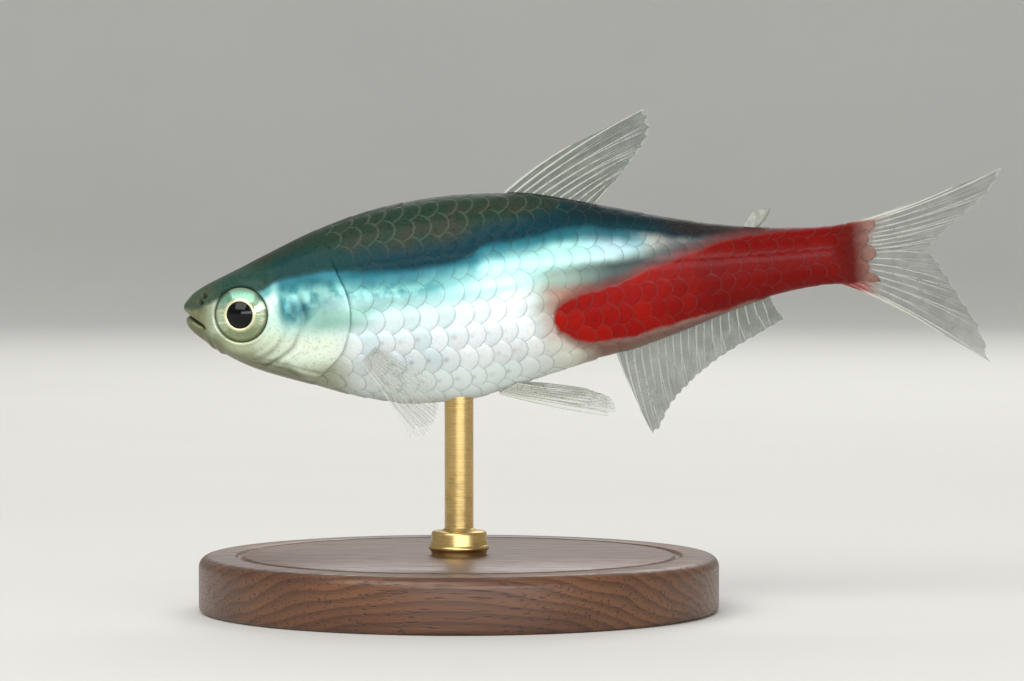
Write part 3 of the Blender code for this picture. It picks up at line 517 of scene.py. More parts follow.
def scaled_skin_finish():
    """Living fish skin under clear scales: mirror-like crystals in the stripe and the belly give a
    silky, slightly metallic shine, pigment in the back and the red band a deep satin colour, and a
    wet film over all of it small sharp highlights."""
    finish, tree, shader = new_finish("scaled_fish_skin", IOR=1.38, Specular_IOR_Level=0.12,
                                      Coat_Weight=0.08, Coat_Roughness=0.14)
    where = add(tree, "ShaderNodeTexCoord").outputs["Object"]
    body, plate = [add(tree, "ShaderNodeAttribute", attribute_name=name).outputs["Vector"]
                   for name in ("body", "plate")]
    # the last of these marks is painted shade in the skin's pits and creases
    tone, rim, pit = [add(tree, "ShaderNodeAttribute", attribute_name=name).outputs["Fac"]
                      for name in ("tone", "rim", "pit")]

    # Pigment cells, in blotches about a millimetre wide and in specks of a tenth of one. The blotches
    # also fray the edges of the markings.
    blotches = add(tree, "ShaderNodeTexNoise", {"Vector": where, "Scale": 1 / (0.9 * MM), "Detail": 3.0})
    specks = add(tree, "ShaderNodeTexNoise", {"Vector": where, "Scale": 1 / (0.12 * MM), "Detail": 2.0})
    blotch, speck = blotches.outputs["Fac"], specks.outputs["Fac"]
    wander = add(tree, "ShaderNodeVectorMath", {0: blotches.outputs["Color"], 1: (0.5, 0.5, 0.5)},
                 operation="SUBTRACT")
    frayed = add(tree, "ShaderNodeVectorMath", {0: wander.outputs[0], 1: (0.016, 0.012, 0.0), 2: body},
                 operation="MULTIPLY_ADD")
    parts = add(tree, "ShaderNodeSeparateXYZ", {0: frayed.outputs[0]})
    station, height = parts.outputs["X"], parts.outputs["Y"]
    stripe_top, stripe_foot, red_top, red_foot, throat = [
        height_over(tree, station, height, line)
        for line in (STRIPE_TOP, STRIPE_FOOT, RED_TOP, RED_FOOT, THROAT_SHADE_LINE)]
    eye_spot = distance_from(tree, frayed.outputs[0], EYE_SPOT)
    dot = distance_from(tree, plate, DOT_ON_SCALE, 2 * SCALE_LENGTH / SCALE_HEIGHT)

    dark = (stripe_top, -0.006, 0.007)
    back_proper = (stripe_top, 0.018, 0.050)
    behind_eye = (station, 0.128, 0.152)
    mottled = (blotch, 0.42, 0.62)
    fine = (speck, 0.50, 0.72)
    low = (height, -0.09, -0.14)
    stripe = cover(tree, 1.0, (stripe_foot, -0.020, 0.014), behind_eye, (station, 0.72, 0.64))
    in_stripe = (stripe, 0.0, 1.0)
    glow = cover(tree, 1.0, in_stripe, (station, 0.33, 0.50), (stripe_top, -0.004, -0.034))
    in_glow = (glow, 0.0, 1.0)
    red = cover(tree, 1.0, (red_top, 0.005, -0.004), (red_foot, -0.004, 0.005))
    in_red = (red, 0.0, 1.0)
    off_red = (red_top, -0.004, 0.004)

    trunk = paint(
        tree, "#e2ecee",
        ("#f3eae6", 0.30, mottled),
        ("#bcd5dc", 0.32, (tone, 0.55, 0.95)),
        ("#f6fbfb", 0.70, (tone, 0.40, 0.05)),
        ("#a9bcc1", 0.25, fine),
        ("#eefcf5", 0.90, low),
        ("#c0d9da", 0.50, (station, 0.46, 0.35), (height, -0.09, -0.05)),
        ("#e6e0c4", 0.60, (station, 0.48, 0.58)))
    colour = paint(
        # Snout, cheek, gill cover and throat, with painted shade low on the gill cover and along the head's
        # underside
        tree, "#dbead2",
        ("#c6d3b2", 0.45, mottled),
        ("#eefae9", 0.75, (station, 0.115, 0.165)),
        ("#a3aa82", 0.70, (height, -0.030, -0.055), (station, 0.120, 0.085)),
        ("#c8ecdc", 0.85, (height, -0.055, -0.025), (station, 0.100, 0.125)),
        # painted shade on the lower edge of the gill cover
        ("#a5ad8e", 0.75, (height, -0.078, -0.105), (station, 0.130, 0.170)),
        ("#767d60", 0.28, fine),
        ("#636748", 0.95, (station, 0.062, 0.020)),
        ("#8c8a66", 0.55, (station, 0.050, 0.020), mottled),
        # painted shade along the head's underside
        ("#66654a", 0.80, (throat, 0.010, -0.008)),
        ("#6a6d4e", 0.60, (height, -0.028, -0.048), (station, 0.080, 0.045)),
        ("#3f868c", 0.90, (stripe_top, -0.024, -0.006), (station, 0.095, 0.120)),
        (trunk, 1.0, (station, 0.20, 0.26)),
        # Stripe, blotchy behind the head with painted glints, and glowing at mid body
        ("#a3d2cc", 0.75, (stripe_foot, -0.040, 0.006), behind_eye, (station, 0.72, 0.64)),
        ("#599d9d", 1.0, in_stripe),
        ("#2b6c7a", 0.60, in_stripe, (blotch, 0.60, 0.42), (station, 0.42, 0.28)),
        # painted glints: pale blotches in the stripe behind the head
        ("#a8e0d8", 0.65, in_stripe, (blotch, 0.46, 0.62), (stripe_top, -0.014, -0.034),
         (station, 0.44, 0.30)),
        ("#8fcfca", 0.40, in_stripe, (tone, 0.65, 0.90)),
        ("#c9eee8", 0.65, in_stripe, (stripe_top, -0.028, -0.050), (station, 0.16, 0.25)),
        ("#86b09c", 0.60, (height, -0.008, -0.022), (height, -0.054, -0.036), (station, 0.165, 0.20),
         (station, 0.29, 0.25)),
        ("#9fd0cf", 0.95, in_glow),
        ("#d6f3f4", 0.62, in_glow, (stripe_top, -0.022, -0.058)),
        ("#a6dccd", 0.70, in_glow, (station, 0.47, 0.54), (station, 0.63, 0.57)),
        ("#b4cdd6", 0.75, in_stripe, (station, 0.57, 0.64)),
        ("#205f6c", 0.95, in_stripe, (stripe_top, -0.029, -0.003)),
        # Between the stripe and the red band
        ("#82988a", 0.95, (station, 0.480, 0.550), (stripe_foot, 0.014, -0.008), (height, -0.075, -0.035),
         off_red),
        ("#a8705f", 0.70, (station, 0.505, 0.555), (station, 0.63, 0.58), (height, 0.002, -0.020),
         (height, -0.110, -0.070)),
        ("#2f3a3c", 0.90, (station, 0.54, 0.64), (stripe_foot, 0.008, -0.010), off_red),
        ("#56585a", 0.90, (station, 0.66, 0.725), off_red),
        # Patch behind the eye
        ("#1c5a66", 0.80, (eye_spot, EYE_SPOT_RADIUS, EYE_SPOT_RADIUS * 0.15)),
        # Dark edge over the stripe, crown and back
        ("#06343f", 1.0, dark),
        ("#063a36", 0.80, dark, (station, 0.32, 0.22)),
        ("#0c1f20", 0.80, (stripe_top, 0.002, 0.020), (station, 0.50, 0.64)),
        ("#2a1f1c", 0.90, (stripe_top, -0.004, 0.010), (station, 0.68, 0.76)),
        ("#28463c", 1.0, dark, (station, 0.150, 0.11)),
        ("#4d5540", 0.75, dark, (station, 0.075, 0.020)),
        ("#223829", 1.0, back_proper, (station, 0.60, 0.54)),
        ("#3a352c", 0.5, back_proper, mottled),
        ("#77836f", 0.22, back_proper, (rim, 0.84, 0.97)),
        ("#0a1413", 0.5, dark, fine),
        # Red band, with the brown strip under it and its soft border
        ("#80594c", 0.85, (station, 0.555, 0.615), (red_foot, 0.004, -0.010)),
        ("#74302a", 0.75, (red_top, 0.022, 0.0), (red_foot, -0.020, 0.0)),
        ("#8e0a04", 1.0, in_red),
        ("#aa180a", 0.45, in_red, (tone, 0.3, 0.9)),
        ("#620502", 0.78, in_red, (station, 0.64, 0.80)),
        ("#4a1a14", 0.60, in_red, (station, 0.955, 0.995)),
        ("#8a6c60", 0.85, (station, 0.990, 1.022)),
        ("#5a0a07", 0.35, in_red, fine),
        # Dots on the low scales, the scales' rims, and painted shade in the skin's pits and creases and under
        # the gill cover's edge
        ("#41463e", 0.36, (dot, 0.26, 0.0), (tone, 0.0, 0.55), (height, DOTS[0] - 0.01, DOTS[0] + 0.01),
         (height, DOTS[1] + 0.015, DOTS[1] - 0.015), (station, 0.52, 0.46), (station, 0.25, 0.29)),
        ("#3c4442", 0.36, (rim, 0.90, 1.0)),
        ("#14100e", 1.0, (pit, 0.0, 1.0)))
    tree.links.new(colour, shader.inputs["Base Color"])
    crystals = cover(tree, 0.40, (stripe_top, 0.005, -0.005), (red, 1.0, 0.0), (height, -0.16, -0.09))
    tree.links.new(crystals, shader.inputs["Metallic"])
    satin = add(tree, "ShaderNodeMix", {0: cover(tree, 1.0, dark), 2: 0.25, 3: 0.46})
    grain = add(tree, "ShaderNodeMath", {0: speck, 1: 0.15, 2: satin.outputs[0]}, operation="MULTIPLY_ADD")
    tree.links.new(grain.outputs[0], shader.inputs["Roughness"])

    # Growth rings of the scales over the grain of the skin
    ring = add(tree, "ShaderNodeVectorMath", {0: plate}, operation="LENGTH")
    turns = add(tree, "ShaderNodeMath", {0: ring.outputs["Value"], 1: math.tau * SCALE_LENGTH / GROWTH_RING},
                operation="MULTIPLY")
    wave = add(tree, "ShaderNodeMath", {0: turns.outputs[0]}, operation="SINE")
    relief = add(tree, "ShaderNodeMath", {0: wave.outputs[0], 1: 0.35, 2: speck}, operation="MULTIPLY_ADD")
    rings = add(tree, "ShaderNodeBump", {"Strength": 0.35, "Distance": 0.010 * MM,
                                         "Height": relief.outputs[0]})
    tree.links.new(rings.outputs[0], shader.inputs["Normal"])
    return finish


def eye_finish():
    """A fish's eye, wet and glassy: the iris is a silver-green ring of fine spokes, sea-green above and olive
    below, with a bright line round a deep black pupil; its very top is darkened by painted shade under the
    orbit's rim."""
    finish, tree, shader = new_finish("wet_eye", Roughness=0.14, IOR=1.36, Specular_IOR_Level=0.25,
                                      Coat_Weight=0.22, Coat_Roughness=0.02)
    iris = add(tree, "ShaderNodeAttribute", attribute_name="iris").outputs["Vector"]
    out, up = add(tree, "ShaderNodeSeparateXYZ", {0: iris}).outputs[:2]
    spread = add(tree, "ShaderNodeVectorMath", {0: iris, 1: (1.2, 0.0, 9.0)}, operation="MULTIPLY")
    streaks = add(tree, "ShaderNodeTexNoise", {"Vector": spread.outputs[0], "Scale": 4.0, "Detail": 3.0})
    clouds = add(tree, "ShaderNodeTexNoise", {"Vector": iris, "Scale": 3.0, "Detail": 2.0})
    pupil = PUPIL_RADIUS / EYE_RADIUS
    colour = paint(
        tree, "#b6c7a6",
        ("#84967a", 0.70, (streaks.outputs["Fac"], 0.40, 0.60)),
        ("#e6ead0", 0.55, (clouds.outputs["Fac"], 0.48, 0.66)),
        ("#5c9884", 0.80, (up, 0.15, 0.60)),
        # painted shade under the orbit's rim, over the stripe's teal at the iris's top
        ("#1d4a4a", 0.70, (up, 0.62, 0.92)),
        ("#747f57", 0.80, (up, -0.20, -0.70)),
        ("#4b5138", 0.85, (out, 0.84, 0.98)),
        ("#15160f", 1.0, (out, 0.96, 1.0)),
        ("#f4efc4", 0.85, (out, pupil * 1.34, pupil * 1.16)),
        ("#040506", 1.0, (out, pupil * 1.07, pupil * 1.03)))
    tree.links.new(colour, shader.inputs["Base Color"])
    tree.links.new(cover(tree, 0.45, (out, pupil, pupil * 1.1)), shader.inputs["Metallic"])
    return finish


def ray_finish(name, opacity):
    """Bony fin ray, jointed like a cane: horn-grey and half clear, whitish where it leads the fin."""
    finish, tree, shader = new_finish(name, IOR=1.45, Roughness=0.35, Alpha=opacity)
    cane = add(tree, "ShaderNodeAttribute", attribute_name="cane").outputs["Vector"]
    run, lead, flush = add(tree, "ShaderNodeSeparateXYZ", {0: cane}).outputs
    joints = add(tree, "ShaderNodeMath", {0: run, 1: MM / JOINT_SPACING}, operation="MULTIPLY")
    joint = add(tree, "ShaderNodeMath", {0: joints.outputs[0]}, operation="FRACT").outputs[0]
    where = add(tree, "ShaderNodeTexCoord").outputs["Object"]
    specks = add(tree, "ShaderNodeTexNoise", {"Vector": where, "Scale": 1 / (0.15 * MM), "Detail": 1.0})
    colour = paint(
        tree, "#c4c6bb",
        ("#7b7a6e", 0.6, (joint, 0.80, 0.95)),
        ("#3d3d36", 0.5, (specks.outputs["Fac"], 0.60, 0.72)),
        ("#d6d8cc", 0.8, (lead, 0.0, 1.0)),
        ("#98261c", 1.0, (flush, 0.0, 1.0)))
    tree.links.new(colour, shader.inputs["Base Color"])
    return finish


def membrane_finish(name, opacity, clear, hazy):
    """Fin membrane, a half clear film with a smoky cast that is cloudy in places: it veils what is
    behind it and takes a soft gloss, like cellophane."""
    finish, tree, shader = new_finish(name, IOR=1.38, Alpha=opacity)
    where = add(tree, "ShaderNodeTexCoord").outputs["Object"]
    clouds = add(tree, "ShaderNodeTexNoise", {"Vector": where, "Scale": 1 / (0.5 * MM), "Detail": 3.0})
    haze = clouds.outputs["Fac"]
    flush = add(tree, "ShaderNodeAttribute", attribute_name="flush").outputs["Fac"]
    colour = paint(
        tree, clear,
        (hazy, 1.0, (haze, 0.40, 0.65)),
        ("#8e1a12", 1.0, (flush, 0.0, 1.0)))
    tree.links.new(colour, shader.inputs["Base Color"])
    grain = add(tree, "ShaderNodeMapRange", {0: haze, 1: 0.3, 2: 0.7, 3: 0.22, 4: 0.36})
    tree.links.new(grain.outputs[0], shader.inputs["Roughness"])
    return finish


def fleshy_fin_finish():
    """The fatty fin of the back: gristle with no rays, half clear and milky, with a waxy gloss."""
    finish, tree, shader = new_finish("fin_gristle", IOR=1.40, Alpha=0.80, Roughness=0.30)
    where = add(tree, "ShaderNodeTexCoord").outputs["Object"]
    haze = add(tree, "ShaderNodeTexNoise", {"Vector": where, "Scale": 1 / (0.25 * MM), "Detail": 3.0})
    grain = add(tree, "ShaderNodeTexNoise", {"Vector": where, "Scale": 1 / (0.05 * MM)})
    colour = paint(
        tree, "#8f9086",
        ("#a6a79d", 1.0, (haze.outputs["Fac"], 0.35, 0.65)),
        ("#55554b", 0.4, (grain.outputs["Fac"], 0.60, 0.72)))
    tree.links.new(colour, shader.inputs["Base Color"])
    return finish


def walnut_finish():
    """Walnut, sawn flat, turned on a lathe and oiled: brown with darker growth lines that run with
    the board, short open pores and a satin sheen."""
    finish, tree, shader = new_finish("turned_walnut", IOR=1.47, Coat_Weight=0.2, Coat_Roughness=0.25)
    where = add(tree, "ShaderNodeTexCoord").outputs["Object"]
    along = add(tree, "ShaderNodeMapping", {"Vector": where, "Scale": (0.06, 1.0, 1.0)}).outputs[0]
    waves = add(tree, "ShaderNodeTexNoise", {"Vector": along, "Scale": 1 / (4.0 * MM), "Detail": 2.0})
    pores = add(tree, "ShaderNodeTexNoise", {"Vector": along, "Scale": 1 / (0.09 * MM), "Detail": 1.0})
    wander, pore = waves.outputs["Fac"], pores.outputs["Fac"]
    depth = add(tree, "ShaderNodeVectorMath", {0: where, 1: [part / GRAIN_SPACING for part in GRAIN_ACROSS]},
                operation="DOT_PRODUCT").outputs["Value"]
    lines = add(tree, "ShaderNodeMath", {0: wander, 1: 5.0, 2: depth}, operation="MULTIPLY_ADD")
    growth = add(tree, "ShaderNodeMath", {0: lines.outputs[0]}, operation="FRACT").outputs[0]
    colour = paint(
        tree, "#54331f",
        ("#6f472b", 0.9, (wander, 0.35, 0.65)),
        ("#331c10", 0.55, (growth, 0.25, 0.92), (growth, 1.0, 0.94)),
        ("#1c0f07", 0.6, (pore, 0.60, 0.68)))
    tree.links.new(colour, shader.inputs["Base Color"])
    sheen = add(tree, "ShaderNodeMapRange", {0: pore, 1: 0.4, 2: 0.7, 3: 0.34, 4: 0.55})
    tree.links.new(sheen.outputs[0], shader.inputs["Roughness"])
    dents = add(tree, "ShaderNodeBump", {"Strength": 0.4, "Distance": 0.03 * MM,
                                         "Height": cover(tree, 1.0, (pore, 0.70, 0.55))})
    tree.links.new(dents.outputs[0], shader.inputs["Normal"])
    return finish


def brass_finish():
    """Brass, turned and left unlacquered: a warm yellow metal with fine tool lines round it and a
    little brown where it has been handled."""
    finish, tree, shader = new_finish("turned_brass", Metallic=1.0)
    where = add(tree, "ShaderNodeTexCoord").outputs["Object"]
    lines = add(tree, "ShaderNodeMapping", {"Vector": where, "Scale": (0.03, 0.03, 1.0)}).outputs[0]
    marks = add(tree, "ShaderNodeTexNoise", {"Vector": lines, "Scale": 1 / (0.03 * MM), "Detail": 2.0})
    clouds = add(tree, "ShaderNodeTexNoise", {"Vector": where, "Scale": 1 / (0.8 * MM), "Detail": 3.0})
    tool, cloud = marks.outputs["Fac"], clouds.outputs["Fac"]
    colour = paint(
        tree, "#c6a76a",
        ("#9c7c4a", 0.5, (cloud, 0.5, 0.7)),
        ("#dcc692", 0.3, (tool, 0.4, 0.6)))
    tree.links.new(colour, shader.inputs["Base Color"])
    grain = add(tree, "ShaderNodeMapRange", {0: tool, 1: 0.3, 2: 0.7, 3: 0.24, 4: 0.40})
    tree.links.new(grain.outputs[0], shader.inputs["Roughness"])
    scratch = add(tree, "ShaderNodeBump", {"Strength": 0.25, "Distance": 0.005 * MM, "Height": tool})
    tree.links.new(scratch.outputs[0], shader.inputs["Normal"])
    return finish


# Pieces
def set_marks(mesh, marks):
    """Keeps named values, a number or three for each point of the mesh, that its material reads."""
    for key, values in marks.items():
        values = np.asarray(values, dtype=np.float32)
        kind, field = ("FLOAT", "value") if values.ndim == 1 else ("FLOAT_VECTOR", "vector")
        mesh.attributes.new(key, kind, "POINT").data.foreach_set(field, values.ravel())


def new_mesh(name, points, faces, marks=None, edges=()):
    """A mesh of these points and faces; marks are named values that its material reads."""
    mesh = bpy.data.meshes.new(name)
    mesh.from_pydata(np.asarray(points).tolist(), list(edges), faces)
    set_marks(mesh, marks or {})
    return mesh


def finish_piece(name, mesh, finish, slot, *nodes, sharp=SHARP):
    """Puts a finished mesh in the scene and says what it rides on and stands for."""
    bm = bmesh.new()
    bm.from_mesh(mesh)
    bmesh.ops.recalc_face_normals(bm, faces=bm.faces)
    bm.to_mesh(mesh)
    bm.free()
    mesh.shade_smooth()
    mesh.set_sharp_from_angle(angle=sharp)
    mesh.materials.clear()
    mesh.materials.append(finish)
    piece = bpy.data.objects.new(name, mesh)
    bpy.context.scene.collection.objects.link(piece)
    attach(piece, "root")
    if nodes:
        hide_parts(*nodes)


def grow(mesh, tree, sizes):
    """Runs a tree of geometry nodes over a mesh and returns what it makes as a plain mesh."""
    source = bpy.data.objects.new(mesh.name, mesh)
    bpy.context.scene.collection.objects.link(source)
    modifier = source.modifiers.new("grow", "NODES")
    modifier.node_group = tree
    for item in tree.interface.items_tree:
        if item.in_out == "INPUT" and item.name in sizes:
            modifier[item.identifier] = sizes[item.name]
    graph = bpy.context.evaluated_depsgraph_get()
    made = bpy.data.meshes.new_from_object(source.evaluated_get(graph), preserve_all_data_layers=True,
                                           depsgraph=graph)
    bpy.data.objects.remove(source, do_unlink=True)
    return made


def new_tree(name, inputs):
    """An empty tree of geometry nodes with a mesh in, a mesh out, and named inputs for its sizes."""
    tree = bpy.data.node_groups.new(name, "GeometryNodeTree")
    tree.interface.new_socket("Geometry", in_out="INPUT", socket_type="NodeSocketGeometry")
    tree.interface.new_socket("Geometry", in_out="OUTPUT", socket_type="NodeSocketGeometry")
    for label, kind in inputs:
        tree.interface.new_socket(label, in_out="INPUT", socket_type=kind)
    start = tree.nodes.new("NodeGroupInput")
    end = tree.nodes.new("NodeGroupOutput")
    return tree, start.outputs, end.inputs[0]


def points_of(mesh):
    points = np.zeros(len(mesh.vertices) * 3)
    mesh.vertices.foreach_get("co", points)
    return points.reshape(-1, 3)


def mark_of(mesh, name, width):
    """The values of a named attribute of the mesh, one row for each of its points."""
    data = mesh.attributes[name].data
    values = np.zeros(len(data) * width)
    data.foreach_get("value" if width == 1 else "vector", values)
    return values if width == 1 else values.reshape(-1, width)


def border_of(rows, columns):
    """Indices of the outermost points of a grid, once round."""
    count = rows * columns
    there = list(range(columns)) + [columns * (i + 1) - 1 for i in range(1, rows)]
    return there + [count - 2 - i for i in range(columns - 1)] + [columns * i for i in range(rows - 2, 0, -1)]


def two_sheets(rows, columns):
    """Faces of two grids of points, one behind the other, closed round their border."""
    count = rows * columns
    border = border_of(rows, columns)
    walls = [(a, b, count + b, count + a) for a, b in zip(border, border[1:] + border[:1])]
    return grid_faces(rows, columns) + grid_faces(rows, columns, count) + walls


def grid_faces(rows, columns, start=0):
    """Quads between rows of points."""
    corners = [start + i * columns + j for i in range(rows - 1) for j in range(columns - 1)]
    return [(a, a + 1, a + columns + 1, a + columns) for a in corners]


def closed_rings(rows, columns):
    """Faces round rings of points, closed by two points more, one at each end."""
    steps = [(j, (j + 1) % columns) for j in range(columns)]
    faces = [(i + j, i + k, i + columns + k, i + columns + j)
             for i in range(0, (rows - 1) * columns, columns) for j, k in steps]
    first, last = rows * columns, (rows - 1) * columns
    for j, k in steps:
        faces += [(first, k, j), (first + 1, last + j, last + k)]
    return faces


# Skin
def cover_side(girth_height):
    """1 where the gill cover stands free, on the side, and 0 over the back and under the throat."""
    return (1 - smooth_step(girth_height, *GILL_COVER_TOP)) * smooth_step(girth_height, *GILL_COVER_FOOT)


def head_relief(station, height, girth_height):
    """How far the head's skin stands out of the plain form, and how much painted shade lies in its mouth's
    slit, nostrils, cheek's groove and throat's folds.
    """
    along = station * math.cos(MOUTH_SLOPE) - height * math.sin(MOUTH_SLOPE)
    corner = MOUTH_CORNER[0] * math.cos(MOUTH_SLOPE) - MOUTH_CORNER[1] * math.sin(MOUTH_SLOPE)
    off_line = ((station - MOUTH_CORNER[0]) * math.sin(MOUTH_SLOPE)
                + (height - MOUTH_CORNER[1]) * math.cos(MOUTH_SLOPE))
    lips = LIP_HEIGHT * bump(np.abs(off_line) - LIP_WIDTH, LIP_WIDTH)
    lips = lips * (1 - smooth_step(along / corner, *LIP_FADE))
    slit = bump(off_line, MOUTH_WIDTH) * (1 - smooth_step(along / corner, *MOUTH_FADE))
    off_plate = off_segment(station, height, MOUTH_CORNER, JAW_PLATE_END)
    jaw_plate = JAW_PLATE_HEIGHT * bump(off_plate - JAW_PLATE_WIDTH, JAW_PLATE_WIDTH)
    off_nostrils = [np.hypot(station - s, height - h) * STANDARD_LENGTH for s, h in NOSTRILS]
    pits = sum(bump(off, NOSTRIL_RADIUS) for off in off_nostrils)
    rim_height, rim_off, rim_width = NOSTRIL_RIM
    rims = sum(bump(off - NOSTRIL_RADIUS * rim_off, NOSTRIL_RADIUS * rim_width) for off in off_nostrils)
    ahead = gill_opening(girth_height) - station
    side_only = (1 - smooth_step(girth_height, *CHEEK_TOP)) * smooth_step(girth_height, *CHEEK_FOOT)
    groove = bump(ahead - CHEEK_GROOVE_AHEAD, CHEEK_GROOVE_WIDTH) * side_only
    cover = GILL_COVER_LIFT * (1 - smooth_step(ahead, 0.0, GILL_COVER_LENGTH)) * cover_side(girth_height)
    bone_height, bone_off, bone_width = CHEEK_BONE
    below_eye = np.hypot(station - EYE_STATION, height - EYE_HEIGHT)
    bone = bone_height * bump(below_eye - bone_off, bone_width) * side_only
    bone = bone * smooth_step(station - height, *CHEEK_BONE_FADE)
    fold_depth, fold_width = THROAT_FOLD
    folds = sum(bump(girth_height - level, fold_width) for level in THROAT_FOLDS)
    folds = folds * smooth_step(station, *THROAT_FOLD_FADE)
    lift = lips + jaw_plate + cover + bone + rim_height * rims - CHEEK_GROOVE * groove
    lift = lift - MOUTH_DEPTH * slit - NOSTRIL_DEPTH * pits - fold_depth * folds
    return lift, np.clip(slit + PIT_SHADE * pits + GROOVE_SHADE * groove + FOLD_SHADE * folds, 0, 1)


def seat_eyes(points):
    """Raises the skin round each eye to a thin rim and sinks it under the eyeball."""
    rim_height, rim_off, rim_width = SEAT_RIM
    for side in (-1, 1):
        centre, outward = surface_at(EYE_STATION, EYE_HEIGHT, side)
        offset = points - centre
        height = offset @ outward
        radius = np.linalg.norm(offset - height[:, None] * outward, axis=1)
        near = (radius < SEAT_REACH) & (points[:, 1] * side > 0)
        blend = 1 - smooth_step(radius / EYE_RADIUS, *SEAT_BLEND)
        target = height * (1 - blend) + np.maximum(height, SEAT_LEVEL) * blend
        target += rim_height * bump(radius - EYE_RADIUS * rim_off, rim_width)
        target -= SOCKET_DEPTH * (1 - smooth_step(radius / EYE_RADIUS, *SOCKET_WALL))
        points[near] += ((target - height)[:, None] * outward)[near]
    return points


def skin_rings():
    """Rings of points from the tip of the snout to the tail fin, with what the material reads."""
    girth = np.linspace(0, math.tau, GIRTH_COLUMNS, endpoint=False)
    girth = girth + SIDE_CROWDING * np.sin(2 * girth)
    girth_height = -np.cos(girth)
    opening = gill_opening(girth_height)
    side = cover_side(girth_height)
    rings = []
    for i in range(1, HEAD_RINGS + 1):
        station = opening * (i / HEAD_RINGS) ** HEAD_CROWDING
        height = plain_body(station, girth)[:, 2] / STANDARD_LENGTH
        # its second value is the painted shade in the head's pits and creases
        lift, dark = head_relief(station, height, girth_height)
        rings.append((station, lift, dark))
    for i, (shift, share) in enumerate(GILL_FLAP):
        station = opening + shift * side + (1 - side) * GILL_FLAP_STEP * (i + 1)
        deep = COAT_DEPTH + UNDER_COVER * side
        folded = GILL_COVER_LIFT * max(share, 0) + deep * min(share, 0)
        plain = -COAT_DEPTH * smooth_step(station - opening, 0, COAT_EDGE)
        # painted shade on the rings that lie under the gill cover's edge
        shade = FLAP_SHADE if i in FLAP_INSIDE else 0.0
        rings.append((station, side * folded + (1 - side) * plain, shade * side))
    end = tail_end(girth_height)
    foot_height, foot_width = FIN_FOOT
    for i in range(TRUNK_RINGS + 1):
        share = i / TRUNK_RINGS
        station = opening + TRUNK_START + (end - opening - TRUNK_START) * share
        settle = UNDER_COVER * side * (1 - smooth_step(share, 0.0, SETTLED))
        bed = side + (1 - side) * smooth_step(station - opening, 0, COAT_EDGE)
        feet = 0
        for off_ridge, (rise, fall) in ((1 - girth_height, BACK_FOOT), (1 + girth_height, BELLY_FOOT)):
            ends = smooth_step(station, *rise) * (1 - smooth_step(station, *fall))
            feet = feet + bump(off_ridge, foot_width) * ends
        rings.append((station, foot_height * feet - COAT_DEPTH * bed - settle, np.zeros_like(girth)))
    return girth, girth_height, rings


def make_skin(finish):
    """One closed skin over head, trunk and tail root."""
    girth, girth_height, rings = skin_rings()
    points, body, pit = [], [], []
    for station, lift, dark in rings:
        plain = plain_body(station, girth)
        points.append(plain + body_normal(station, girth) * np.broadcast_to(lift, girth.shape)[:, None])
        body.append(np.stack([station, plain[:, 2] / STANDARD_LENGTH, girth_height], axis=1))
        # painted shade in the skin's pits and creases, ring by ring
        pit.append(np.broadcast_to(dark, girth.shape))
    faces = closed_rings(len(points), GIRTH_COLUMNS)
    points, body, pit = np.concatenate(points), np.concatenate(body), np.concatenate(pit)
    points = seat_eyes(points)
    last = points[-GIRTH_COLUMNS:].mean(axis=0)
    points = np.concatenate([points, [(0, 0, 0)], [last]])
    body = np.concatenate([body, [(0, 0, 0)], [(1 + TAIL_ROOT_BULGE, 0, 0)]])
    pit = np.concatenate([pit, [1.0, 0.0]])
    marks = {"body": body, "pit": pit, "tone": np.full(len(points), SKIN_TONE)}
    mesh = new_mesh("fish_skin", place(points), faces, marks)
    finish_piece("fish_skin", mesh, finish, "skin", "head", "torso", "tail", sharp=NEVER_SHARP)


# Scales
def scale_plate():
    """One scale, flat: x runs from its hidden root to its free rear edge, y across it."""
    columns, rows = len(SCALE_ACROSS), len(SCALE_ALONG)
    points, plate = [], []
    for a in SCALE_ALONG:
        for b in SCALE_ACROSS:
            x = a * (SCALE_SHOULDER + (1 - SCALE_SHOULDER) * math.sqrt(1 - b * b))
            width = SCALE_ROOT_WIDTH + (1 - SCALE_ROOT_WIDTH) * smooth_step(x, 0, SCALE_FLARE)
            free = math.hypot(max(x - SCALE_SHOULDER, 0) / (1 - SCALE_SHOULDER), b)
            crown = SCALE_CROWN * (1 - b * b) * math.sin(math.pi * min(x, 1))
            rise = crown - SCALE_RIM_DROP * smooth_step(free, SCALE_RIM, 1.0)
            points.append((x * SCALE_LENGTH, b * width * SCALE_HEIGHT / 2, rise))
            plate.append((x, b, free))
    count = len(points)
    border = border_of(rows, columns)
    points += [(points[i][0], points[i][1], points[i][2] - SCALE_THICKNESS) for i in border]
    plate += [plate[i] for i in border]
    faces = grid_faces(rows, columns)
    total = len(border)
    for i in range(total):
        j = (i + 1) % total
        faces.append((border[j], border[i], count + i, count + j))
    faces.append(tuple(count + i for i in range(total)))
    return new_mesh("scale_plate", points, faces, {"plate": np.array(plate)})


